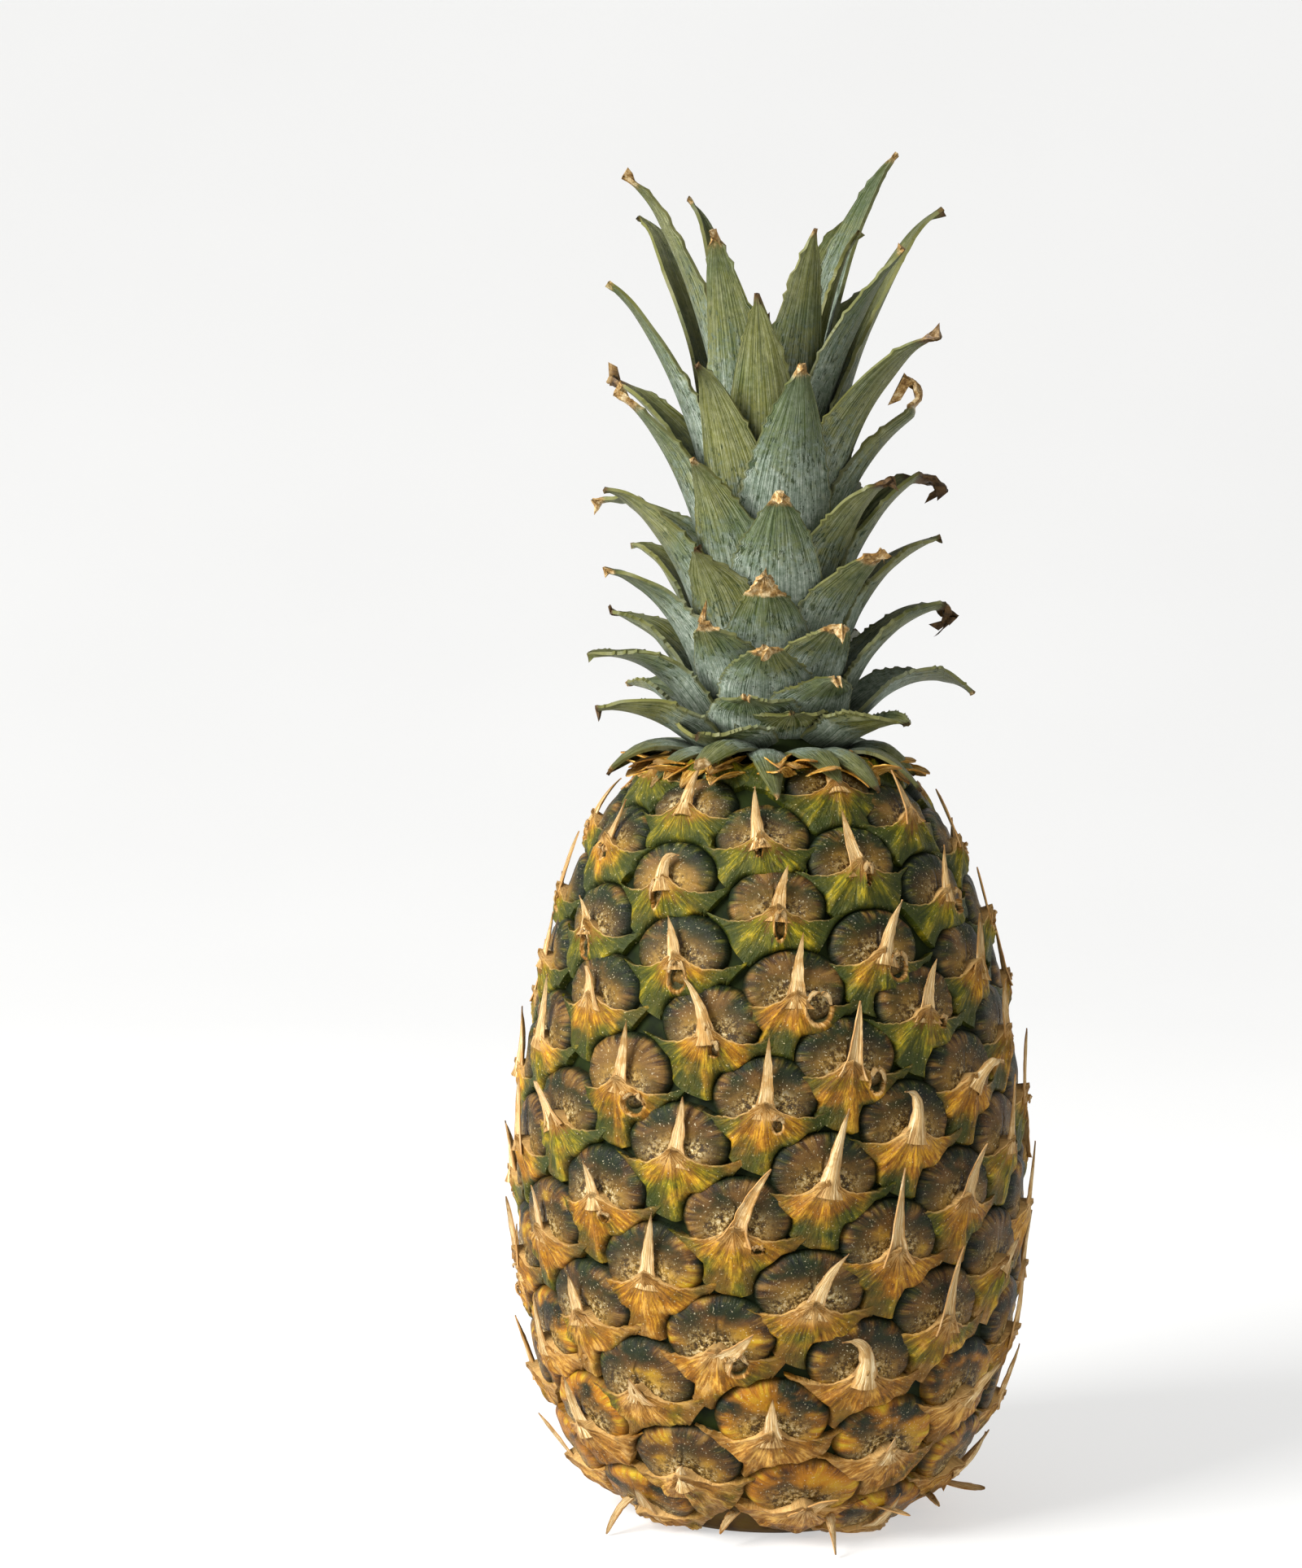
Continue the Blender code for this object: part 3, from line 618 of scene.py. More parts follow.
# %% Bract finish
def bract_finish():
    finish = Finish("bract", Specular_IOR_Level=0.22)
    across, drop, tone = finish.attribute("bract")
    level, lip, pressed = finish.attribute("level")
    hole, ridge, _ = finish.attribute("hole")
    place = finish.place()
    seed = tone * 29.0
    reach = (across * across + drop * drop + 0.0001) ** 0.5
    turn = finish.node("ShaderNodeMath", {"operation": "ARCTAN2"}, [across, drop + 0.03])
    fan = finish.vector(turn * 3.2, reach * 0.9, seed)
    fibres = finish.noise(fan, 4.0, 4.0, 0.68)
    patch = finish.noise(finish.vector(across, drop, seed), 1.8, 3.0)
    fleck = finish.noise(place, 1900.0, 2.0)
    cloud = finish.noise(place, 260.0, 4.0, 0.65)
    streaks = fibres * 0.5 + cloud * 0.25 + patch * 0.25

    green = finish.ramp(streaks, [(0.38, (0.018, 0.026, 0.001)), (0.50, (0.115, 0.105, 0.002)),
                                  (0.62, (0.46, 0.33, 0.008))])
    orange = finish.ramp(streaks, [(0.38, (0.060, 0.020, 0.001)), (0.50, (0.27, 0.100, 0.003)),
                                   (0.62, (0.66, 0.34, 0.020))])
    tan = finish.ramp(streaks, [(0.38, (0.085, 0.028, 0.002)), (0.49, (0.33, 0.150, 0.022)),
                                (0.60, (0.78, 0.50, 0.20))])
    ripe = finish.band(patch + level * 0.45 + (tone - 0.5) * 0.25 - reach * 0.30, 0.40, 0.72)
    colour = finish.mix(ripe, green, orange)
    along_ridge = finish.band(ridge + (fibres - 0.5) * 0.5, 0.75, 0.25)
    far = finish.band(reach + (cloud - 0.5) * 0.7 - level * 0.28 - ridge * 0.25, 0.26, 0.62)
    far = far * (along_ridge * 0.5 + 0.5)
    deep_green = finish.mix(streaks, (0.003, 0.008, 0.000), (0.045, 0.060, 0.002))
    deep_brown = finish.mix(streaks, (0.030, 0.011, 0.001), (0.26, 0.115, 0.010))
    low = finish.band(level + (patch - 0.5) * 0.6, 0.45, 0.72)
    colour = finish.mix(far * 0.92, colour, finish.mix(low, deep_green, deep_brown))
    core = (across * across * 0.7 + drop * drop * 1.2 + 0.0001) ** 0.5
    fibre = core + (fibres - 0.5) * 1.0 + (cloud - 0.5) * 0.5 - level * 0.20
    colour = finish.mix(finish.band(fibre, 0.30, 0.08) * 0.92, colour, tan)
    dry = finish.band(level + (patch - 0.5) * 0.8 + (cloud - 0.5) * 0.5, 0.66, 0.92)
    colour = finish.mix(dry * 0.35, colour, tan)
    worn = finish.band(lip + (cloud - 0.5) * 1.2, 0.55, 0.95) * finish.band(reach, 0.9, 0.2)
    colour = finish.mix(worn * 0.8, colour, (0.66, 0.40, 0.14))
    colour = finish.mix(finish.band(fleck, 0.66, 0.74) * 0.55, colour, (0.66, 0.56, 0.30))
    colour = finish.mix(finish.band(cloud, 0.60, 0.70) * 0.40, colour, (0.030, 0.016, 0.005))
    colour = finish.mix(finish.band(hole, 0.15, 0.40), colour, tan)
    colour = finish.mix(finish.band(hole, 0.52, 0.72), colour,
                        finish.mix(cloud, (0.010, 0.009, 0.003), (0.11, 0.10, 0.030)))
    colour = finish.mix(finish.band(pressed, 0.7, 0.1) * 0.9, colour,
                        finish.mix(low, (0.005, 0.011, 0.001), (0.035, 0.015, 0.003)))
    finish.bump(fibres * 0.6 + cloud * 0.5 + fleck * 0.12, 0.0012)
    return finish.paint(Base_Color=colour, Roughness=0.70 - fibres * 0.30)


# %% Bract shape
WING_SPAN = 0.0178
BRACT_DROP = 0.0158
# How far down the bract's sides reach, at distances across
SIDE_ACROSS = (0.0003, 0.0040, 0.0074, 0.0096, 0.0111, 0.0124, 0.0145, 0.0178)
SIDE_DROPS = (0.0160, 0.0148, 0.0130, 0.0106, 0.0082, 0.0062, 0.0036, 0.0003)
# The wings lie over the neighbours' eyes down to here
WING_ACROSS = (0.0, 0.0060, 0.0093, 0.0120, 0.0140, 0.0178)
WING_DROPS = (0.0090, 0.0092, 0.0068, 0.0044, 0.0026, 0.0)
# Its upper edge, hollow between the spine's root and the wing's tip
EDGE_ACROSS = (0.0, 0.0015, 0.0035, 0.0070, 0.0120, 0.0178)
EDGE_RISES = (0.0014, 0.0007, -0.0010, -0.0024, -0.0022, -0.0002)
WING_EDGE = 0.0012
BRACT_TOP = 0.0031
BRACT_TIP = -0.0009            # height of the bract's points
BRACT_COLUMNS = 44
BRACT_ROWS = 24
BRACT_THICKNESS = 0.0040       # its skirt ends deep in the fruit
BRACT_DEPTH = 0.0014           # where it is pressed in it lies this far under the groove
PRESS_START = 0.99             # a neighbour's eye presses it in from here
PRESS_WIDTH = 0.12             # to this much further from that eye's centre
WING_FREEDOM = 0.8             # how little the eyes press on the wings
LIP_WIDTH = 0.0010
EDGE_LIP = 0.0003              # the bract's upper edge stands this far over the eye
RIDGES = (-1.55, -0.72, 0.03, 0.72, 1.55)
RIDGE_WIDTH = 0.13             # radians
RIDGE_HEIGHT = 0.0010
# Torn holes: across and up from the spine's root, half width, half height, in millimetres
HOLES = {10: (-0.2, -3.2, 0.7, 1.6), 13: (0.8, -4.0, 0.6, 1.6), 15: (1.5, -3.0, 0.8, 2.2),
         18: (-1.2, -3.8, 1.3, 3.0), 20: (4.0, -2.8, 2.2, 2.5), 23: (0.7, -4.0, 1.2, 3.2),
         26: (0.8, -5.4, 1.2, 3.2), 28: (4.0, -3.4, 2.2, 2.8), 31: (0.8, -4.6, 2.0, 3.2),
         36: (5.4, -3.0, 2.8, 3.4), 41: (4.6, -3.0, 1.2, 1.2), 44: (1.8, -4.0, 0.8, 1.6),
         49: (6.4, -3.8, 1.8, 2.6), 52: (4.4, -5.2, 2.4, 2.2), 57: (3.0, -4.2, 1.1, 1.8),
         73: (3.0, -4.4, 1.4, 1.1), 78: (5.0, -4.4, 1.2, 0.9), 99: (4.2, -3.6, 2.2, 2.2)}
HOLE_CHANCE = 0.4              # for the fruitlets that the photograph doesn't show
HOLE_DEPTH = 0.0021
MEASURED_SECTOR = 75.0         # degrees to each side of the front


def bract_sheet():
    """A flat grid with a skirt round it, for one bract."""
    shape = bmesh.new()
    bmesh.ops.create_grid(shape, x_segments=BRACT_COLUMNS, y_segments=BRACT_ROWS, size=1.0)
    rim = [edge for edge in shape.edges if edge.is_boundary]
    skirt = bmesh.ops.extrude_edge_only(shape, edges=rim)["geom"]
    for corner in skirt:
        if isinstance(corner, bmesh.types.BMVert):
            corner.co.z = -1.0
    bmesh.ops.holes_fill(shape, edges=[edge for edge in shape.edges if edge.is_boundary])
    bmesh.ops.recalc_face_normals(shape, faces=shape.faces)
    mesh = bpy.data.meshes.new("bract_sheet")
    shape.to_mesh(mesh)
    shape.free()
    return mesh


def near_fruitlets(place):
    """The fruitlets whose eyes may press on one's bract."""
    found = []
    for other in fruitlets:
        across, up = place.seen_from(other.azimuth, other.along)
        if other is not place and abs(across) < 0.045 and abs(up) < 0.035:
            found.append(other)
    return found


def torn_holes():
    """The hole in each bract that has one."""
    draw = random.Random(29)
    found = {}
    for count, fruitlet in enumerate(fruitlets):
        guess = (draw.uniform(0.5, 3.0), draw.uniform(-5.0, -3.2), draw.uniform(0.9, 2.0),
                 draw.uniform(1.6, 3.0))
        hidden = abs(half_turn(fruitlet.azimuth)) > math.radians(MEASURED_SECTOR)
        if count in HOLES:
            found[fruitlet] = [MM * value for value in HOLES[count]]
        elif draw.random() < HOLE_CHANCE and hidden:
            found[fruitlet] = [MM * value for value in guess]
    return found


neighbours = {place: near_fruitlets(place) for place in fruitlets + collar}
holes = torn_holes()
print("bracts torn open:", len(holes))


def hole_reach(fruitlet, across, up):
    """0 in the middle of a bract's hole, 1 on its edge and large elsewhere."""
    if fruitlet not in holes:
        return 9.0
    aside, above, half_width, half_height = holes[fruitlet]
    return math.hypot((across - aside) / half_width, (up - above) / half_height)


def ridge_share(across, up):
    """1 on a ridge from the bract's root to one of its points, and 0 between them."""
    turn = math.atan2(across, max(-up, 0.0) + 0.0010)
    return sum(math.exp(-((turn - way) / RIDGE_WIDTH) ** 2) for way in RIDGES)


def bract_height(across, up):
    """Height of the bract over the skin: a boss at the root, with ridges to its points."""
    side = abs(across) / WING_SPAN
    drop = max(-up, 0.0) / BRACT_DROP
    reach = (side ** 1.5 + drop ** 1.5) ** (1.0 / 1.5)
    out = BRACT_TOP + (BRACT_TIP - BRACT_TOP) * reach ** 0.6
    strength = smooth_step(reach / 0.35) * max(1.0 - reach, 0.0) ** 0.5
    return out + RIDGE_HEIGHT * ridge_share(across, up) * strength


def lay_bract(fruitlet, flat):
    """Place one corner of a bract's sheet."""
    tone = tones[fruitlet]
    across = math.copysign(abs(flat.x) ** 1.08, flat.x) * WING_SPAN
    ragged = noise.noise(Vector((across * 900.0, tone * 80.0, 0.0)))
    start = float(np.interp(abs(across), EDGE_ACROSS, EDGE_RISES)) + 0.0004 * ragged
    end = min(-float(np.interp(abs(across), SIDE_ACROSS, SIDE_DROPS)), start)
    share = (1.0 - flat.y) / 2.0
    up = start + (end - start) * share ** 1.1
    out = bract_height(across, up)
    lifted = eye_height(eye_reach(across, up)) + EDGE_LIP
    out = max(out, lifted)
    azimuth, along = fruitlet.beside(across, up)
    pressed = 1.0
    for other in neighbours[fruitlet]:
        gap = eye_reach(*other.seen_from(azimuth, along)) - PRESS_START
        pressed = min(pressed, max(gap / PRESS_WIDTH, 0.0))
    line = float(np.interp(abs(across), WING_ACROSS, WING_DROPS))
    pressed = max(pressed, WING_FREEDOM * smooth_step((up + line) / WING_EDGE + 0.5))
    deep = GROOVE - BRACT_DEPTH
    out = deep + (out - deep) * math.sqrt(pressed * (2.0 - pressed))
    streak = noise.noise(Vector((math.atan2(across, start - up + 0.002) * 5.0, tone * 70.0, 0.0)))
    crumple = noise.noise(Vector((across * 420.0, up * 420.0, tone * 70.0)))
    out += (0.00035 * streak + (0.0002 + 0.0007 * fruitlet.level ** 2) * crumple) * pressed
    hole = hole_reach(fruitlet, across, up)
    out += 0.0006 * math.exp(-((hole - 1.2) / 0.25) ** 2) * pressed
    out -= HOLE_DEPTH * smooth_step((1.1 - hole) / 0.3) * pressed
    if flat.z < 0.0:
        out -= BRACT_THICKNESS
    lip = 1.0 - min((start - up) / LIP_WIDTH, 1.0)
    place = fruitlet.point(across, up, out)
    values = {"bract": Vector((across / WING_SPAN, -up / BRACT_DROP, tone)),
              "level": Vector((fruitlet.level, lip, pressed)),
              "hole": Vector((min(max(1.6 - hole, 0.0), 1.0), ridge_share(across, up), 0.0))}
    return place, values


def make_bracts():
    """The bracts, in an upper and a lower piece to keep each one light."""
    finish = bract_finish()
    half = (len(fruitlets) - len(collar)) // 2
    groups = {"bracts_upper": collar + fruitlets[:half], "bracts_lower": fruitlets[half:]}
    for name, places in groups.items():
        shape = lay_copies(bract_sheet(), places, lay_bract, ("bract", "level", "hole"))
        make_piece(shape, name, finish, ["fruit"])


make_bracts()

# %% [markdown]
# ## The spines
# Each bract ends in a dry, papery blade that stands up over its eye. It is widest near its
# root, bends, and often twists. A narrow grid is bent along a curved line from the root to
# the tip, hollowed like a gutter and given a little thickness. The same blades, short and
# thin, are the curled edges of the torn holes.

# %% Spine finish
def spine_finish(name, tint, fresh):
    finish = Finish(name, Roughness=0.65, Specular_IOR_Level=0.2)
    across, along, tone = finish.attribute("blade")
    seed = tone * 23.0
    fibre = finish.noise(finish.vector(across * 5.0, along * 1.6, seed), 1.8, 4.0, 0.6)
    cloud = finish.noise(finish.place(), 300.0, 4.0, 0.6)
    cream = finish.ramp(fibre, [(0.32, (0.38, 0.19, 0.055)), (0.50, (0.72, 0.48, 0.20)),
                                (0.66, (0.94, 0.78, 0.48))])
    brown = finish.ramp(fibre, [(0.34, (0.12, 0.048, 0.006)), (0.64, (0.52, 0.29, 0.075))])
    root = finish.band(along + (fibre - 0.5) * 0.5 + (cloud - 0.5) * 0.5, 0.20, -0.02)
    rim = finish.band(abs(across) + (cloud - 0.5) * 0.8, 0.70, 1.0)
    end = finish.band(along + (cloud - 0.5) * 0.5, 0.82, 1.0)
    colour = finish.mix(root * 0.75, cream, brown)
    colour = finish.mix(rim * 0.75, colour, (0.40, 0.20, 0.060))
    colour = finish.mix(end * 0.6, colour, (0.22, 0.10, 0.030))
    colour = finish.mix(finish.band(cloud + (tone - 0.5) * 0.2, 0.52, 0.70) * 0.75, colour, tint)
    height = finish.parts(finish.place())[2]
    orange = finish.ramp(fibre, [(0.34, (0.13, 0.045, 0.001)), (0.50, (0.42, 0.19, 0.008)),
                                 (0.66, (0.80, 0.52, 0.13))])
    live = finish.band(height, 0.10, 0.16) * finish.band(along + (cloud - 0.5) * 0.8, 1.3, 0.6)
    colour = finish.mix(live * fresh, colour, orange)
    finish.bump(fibre + cloud * 0.3, 0.0007)
    return finish.paint(Base_Color=colour)


# %% Spine shape
SPINE_LENGTH = 0.0145
SPINE_OUT = (0.0022, 0.0050)   # least and most that a tip stands over the skin
# Spine tips where the photograph shows them, in millimetres across and up from the root
SPINE_TIPS = {5: (2, 10), 10: (-2, 13), 13: (4, 10), 15: (-3, 13), 18: (4, 6), 20: (2, 11),
              23: (3, 11), 26: (-2, 6), 28: (6, 12), 31: (-3, 10), 33: (8, 12), 36: (2, 15),
              39: (-3, 7), 41: (5, 12), 44: (-7, 13), 49: (3, 15), 52: (3, 14), 54: (11, 2),
              57: (1, 16), 60: (-9, 7), 62: (-4, 9), 65: (2, 13), 70: (5, 17), 73: (-2, 8),
              75: (5, 12), 78: (8, 14), 81: (-1, 10), 83: (1, 19), 86: (3, 15), 88: (7, 4),
              91: (7, 12), 94: (-1, 9), 96: (2, 17), 99: (8, 5), 104: (-6, 8), 107: (0, 4),
              109: (7, 7), 112: (0, 9), 117: (0, 4), 120: (1, 4), 122: (8, 7), 125: (6, 4)}
# Spines that hook over: where they bend, in millimetres across, up and out of the skin
SPINE_BENDS = {18: (-2, 7, 4), 39: (1, 6, 4), 44: (-1, 8, 4), 54: (5, 6, 6), 60: (-3, 6, 5),
               62: (2, 10, 4), 99: (5, 1, 3), 104: (1, 10, 4), 109: (2, 3, 4), 122: (4, 1, 4)}
SPINE_HALF_WIDTH = 0.0023
SPINE_CEILING = 0.1895
SPINE_SUNK = 0.0004
SPINE_ROOT = -0.0030           # how far up the bract it starts
SPINE_COLUMNS = 6
SPINE_ROWS = 14
SPINE_THICKNESS = 0.00035


def spine_width(share):
    """Half width along a spine: a flared root, then a long taper."""
    flare = 0.8 * max(0.0, 1.0 - share / 0.30) ** 2
    return SPINE_HALF_WIDTH * (flare + 0.95 * (1.0 - share) ** 0.9 * (1.0 + 0.2 * share))


def ribbon_width(share):
    """Half width along a torn strip, which narrows to both ends."""
    return 0.0005 * (1.0 - share) ** 0.8 + 0.00015


def bend_blade(shape, layer, line, side, width, hollow, twist, tone):
    """Add one blade along a line of points; side is its direction across at the root."""
    start = len(shape.verts)
    bmesh.ops.create_grid(shape, x_segments=SPINE_COLUMNS, y_segments=SPINE_ROWS, size=1.0)
    shape.verts.ensure_lookup_table()
    for corner in shape.verts[start:]:
        share = (corner.co.y + 1.0) / 2.0
        step = min(int(share * (len(line) - 1)), len(line) - 2)
        rest = share * (len(line) - 1) - step
        middle = line[step].lerp(line[step + 1], rest)
        before = line[max(step - 1, 0)].lerp(line[step], rest)
        after = line[step + 1].lerp(line[min(step + 2, len(line) - 1)], rest)
        forward = (after - before).normalized()
        flat = side.cross(forward).normalized()
        turned = Matrix.Rotation(twist * share ** 1.5, 3, forward)
        over = turned @ forward.cross(flat).normalized()
        across = corner.co.x
        ragged = 1.0 + 0.22 * noise.noise(Vector((share * 9.0, across * 2.0, tone * 60.0)))
        half = width(share) * ragged
        lift = turned @ flat * hollow * half * (across ** 2 - 0.5)
        corner[layer] = Vector((across, share, tone))
        corner.co = middle + over * across * half + lift


def curve_through(root, bend, tip, steps=9):
    """Points on a curve that leaves the root towards the bend and ends at the tip."""
    points = []
    for step in range(steps):
        share = step / (steps - 1)
        points.append(root.lerp(bend, share).lerp(bend.lerp(tip, share), share))
    return points


def keep_off_floor(shape):
    """Only the base touches the floor."""
    for corner in shape.verts:
        corner.co.z = max(corner.co.z, FLOOR_CLEARANCE)


# %% Spines
def spine_course(count, fruitlet, draw, fine_draw):
    """The line of one spine, and what the solids' draws give for its tip."""
    length = SPINE_LENGTH * draw.uniform(0.75, 1.1)
    lean = draw.uniform(-0.35, 0.45)
    stand = draw.uniform(*SPINE_OUT)
    across, up = length * math.sin(lean), length * math.cos(lean)
    if count in SPINE_TIPS:
        across, up = [MM * distance for distance in SPINE_TIPS[count]]
    root = fruitlet.point(0.0, SPINE_ROOT, bract_height(0.0, SPINE_ROOT) - SPINE_SUNK)
    azimuth, along = fruitlet.beside(across, up)
    tip = skin.point(azimuth, max(along, 0.001), stand)
    if tip.z > SPINE_CEILING:
        tip = root.lerp(tip, max((SPINE_CEILING - root.z) / (tip.z - root.z), 0.3))
    bend = fruitlet.point(across * 0.35 + fine_draw.uniform(-0.0012, 0.0012), up * 0.45,
                          fine_draw.uniform(0.0012, 0.0034))
    if count in SPINE_BENDS:
        aside, above, out = [MM * distance for distance in SPINE_BENDS[count]]
        bend = fruitlet.point(aside, above, out)
    return curve_through(root, bend, tip)


def add_torn_edges(shape, layer, fruitlet, draw):
    """Curled strips down both sides of a bract's hole."""
    aside, above, half_width, half_height = holes[fruitlet]
    side = across_and_out(fruitlet.azimuth)[0]
    outer = math.copysign(1.0, aside)
    for way, reach in ((outer, draw.uniform(0.40, 0.62)), (-outer, draw.uniform(0.25, 0.45))):
        points = []
        for step in range(9):
            turn = math.pi * (0.02 + reach * step / 8.0)
            stray = 1.1 + 0.16 * noise.noise(Vector((turn * 1.5, way, aside * 900.0)))
            across = aside + way * half_width * stray * math.sin(turn)
            up = above + half_height * stray * math.cos(turn)
            rise = 0.0004 + 0.0006 * noise.noise(Vector((turn * 2.0, aside * 900.0, way)))
            points.append(fruitlet.point(across, up, bract_height(across, up) + rise))
        bend_blade(shape, layer, points, side, ribbon_width, 0.3, draw.uniform(-1.0, 1.0),
                   draw.random())


def make_spines():
    """A spine on every fruitlet, and the torn strips round the holes."""
    draw = random.Random(7)
    collar_of_bracts(draw)     # the collar's draws come first in the solids too
    fine_draw = random.Random(17)
    shape = bmesh.new()
    layer = shape.verts.layers.float_vector.new("blade")
    for count, fruitlet in enumerate(fruitlets):
        line = spine_course(count, fruitlet, draw, fine_draw)
        side = across_and_out(fruitlet.azimuth)[0]
        size = fruitlet.size * fine_draw.uniform(0.9, 1.15)
        twist = fine_draw.uniform(-0.8, 0.8)
        bend_blade(shape, layer, line, side, lambda share: spine_width(share) * size,
                   fine_draw.uniform(-0.9, 0.5), twist, fine_draw.random())
        if fruitlet in holes:
            add_torn_edges(shape, layer, fruitlet, fine_draw)
    bmesh.ops.solidify(shape, geom=list(shape.faces), thickness=SPINE_THICKNESS)
    keep_off_floor(shape)
    return make_piece(shape, "spines", spine_finish("spine", (0.46, 0.24, 0.06), 0.15),
                      ["fruit"])


make_spines()

# %% [markdown]
# ## Dry scales at both ends
# Under the crown lies a collar of dry orange bracts that stand out over the shoulder, and at
# the base a few dried bracts hang down to the table. Both are the same blades again, only
# broader: one ring follows the solids' collar and two rings of short scales fill it up.

# %% Dry scales
COLLAR_LENGTH = 0.0115
# Rings of scales: how many, how high and how long
COLLAR_RINGS = ((15, 0.1845, 0.0085), (18, 0.1866, 0.0085))
# Dried bracts at the base: azimuth in degrees, length and drop in millimetres
BASE_STRIPS = ((-52, 13, 9), (-13, 7, 5), (17, 15, 8), (33, 12, 2), (74, 17, 1), (60, 9, 3),
               (133, 14, 8), (170, 11, 6), (-160, 13, 8), (-121, 12, 6))
BASE_HEIGHT = 0.009


def scale_width(share):
    """Half width along a dry scale: broad, then a short taper."""
    return 0.0048 * (1.0 - share) ** 0.8 + 0.0003


def strip_width(share):
    """Half width along a dried strip at the base."""
    return 0.0013 * (1.0 - share) ** 0.6 + 0.0002


def add_blade(shape, layer, azimuth, ends, width, hollow, twist, draw):
    """One dry blade along a curve through its root, bend and tip."""
    side = across_and_out(azimuth)[0]
    bend_blade(shape, layer, curve_through(*ends), side, width, draw.uniform(*hollow),
               draw.uniform(*twist), draw.random())


def add_collar(shape, layer, bracts, draw):
    """The dry bracts of the solids' collar."""
    for bract in bracts:
        azimuth = bract.azimuth + draw.uniform(-0.2, 0.2)
        outward = across_and_out(azimuth)[1]
        outward.z = draw.uniform(-0.55, -0.1)
        root = bract.point(0.0, 0.001, 0.0006)
        tip = root + outward * COLLAR_LENGTH
        bend = root.lerp(tip, 0.5) + Vector((0.0, 0.0, draw.uniform(0.0005, 0.002)))
        add_blade(shape, layer, azimuth, (root, bend, tip), scale_width, (-0.6, 0.3),
                  (-0.5, 0.5), draw)


def add_collar_rings(shape, layer, draw):
    """Short scales between the collar and the crown."""
    for amount, height, length in COLLAR_RINGS:
        for count in range(amount):
            azimuth = 2.0 * math.pi * (count + draw.uniform(-0.4, 0.4)) / amount
            outward = across_and_out(azimuth)[1]
            root = outward * (body_radius(height) - 0.0015) + Vector((0.0, 0.0, height))
            rise = Vector((0.0, 0.0, draw.uniform(-0.0055, 0.0030)))
            tip = root + outward * length * draw.uniform(0.7, 1.15) + rise
            bend = root.lerp(tip, 0.5) + Vector((0.0, 0.0, 0.0015))
            add_blade(shape, layer, azimuth, (root, bend, tip), scale_width, (-0.6, 0.4),
                      (-0.7, 0.7), draw)


def add_base_strips(shape, layer, draw):
    """The dried bracts that hang down to the table."""
    for degrees, length, drop in BASE_STRIPS:
        azimuth = math.radians(degrees)
        side, outward = across_and_out(azimuth)
        radius = body_radius(BASE_HEIGHT) - 0.003
        root = outward * radius + Vector((0.0, 0.0, BASE_HEIGHT - 0.001 * draw.random()))
        tip = root + outward * length * MM * 0.8 + side * draw.uniform(-0.006, 0.006)
        tip.z = max(BASE_HEIGHT - drop * MM, FLOOR_CLEARANCE)
        bend = root.lerp(tip, 0.6)
        bend.z = root.z - 0.001
        add_blade(shape, layer, azimuth, (root, bend, tip), strip_width, (-0.6, 0.4),
                  (-1.2, 1.2), draw)


def make_dry_scales():
    """The collar under the crown and the dried bracts at the base."""
    shape = bmesh.new()
    layer = shape.verts.layers.float_vector.new("blade")
    draw = random.Random(23)
    add_collar(shape, layer, collar_of_bracts(random.Random(7)), draw)
    add_collar_rings(shape, layer, draw)
    add_base_strips(shape, layer, draw)
    bmesh.ops.solidify(shape, geom=list(shape.faces), thickness=SPINE_THICKNESS)
    keep_off_floor(shape)
    finish = spine_finish("dry_scale", (0.40, 0.16, 0.012), 0.9)
    return make_piece(shape, "dry_scales", finish, ["fruit"])


make_dry_scales()

# %% [markdown]
# ## The crown
# The crown is a short stem with some sixty stiff leaves on a spiral of their own. Each leaf
# is channelled, leans out more and more towards its tip and ends dry, and a ring of short
# ones droops over the fruit's shoulder. The solids have the same leaves in a few flat steps,
# so the same rule with many more rows gives the fine blade at the same place. The part of a
# leaf that its neighbours cover keeps a whitish bloom, with painted shade towards its root,
# and the stem within is a plain cone in near-black painted shade.

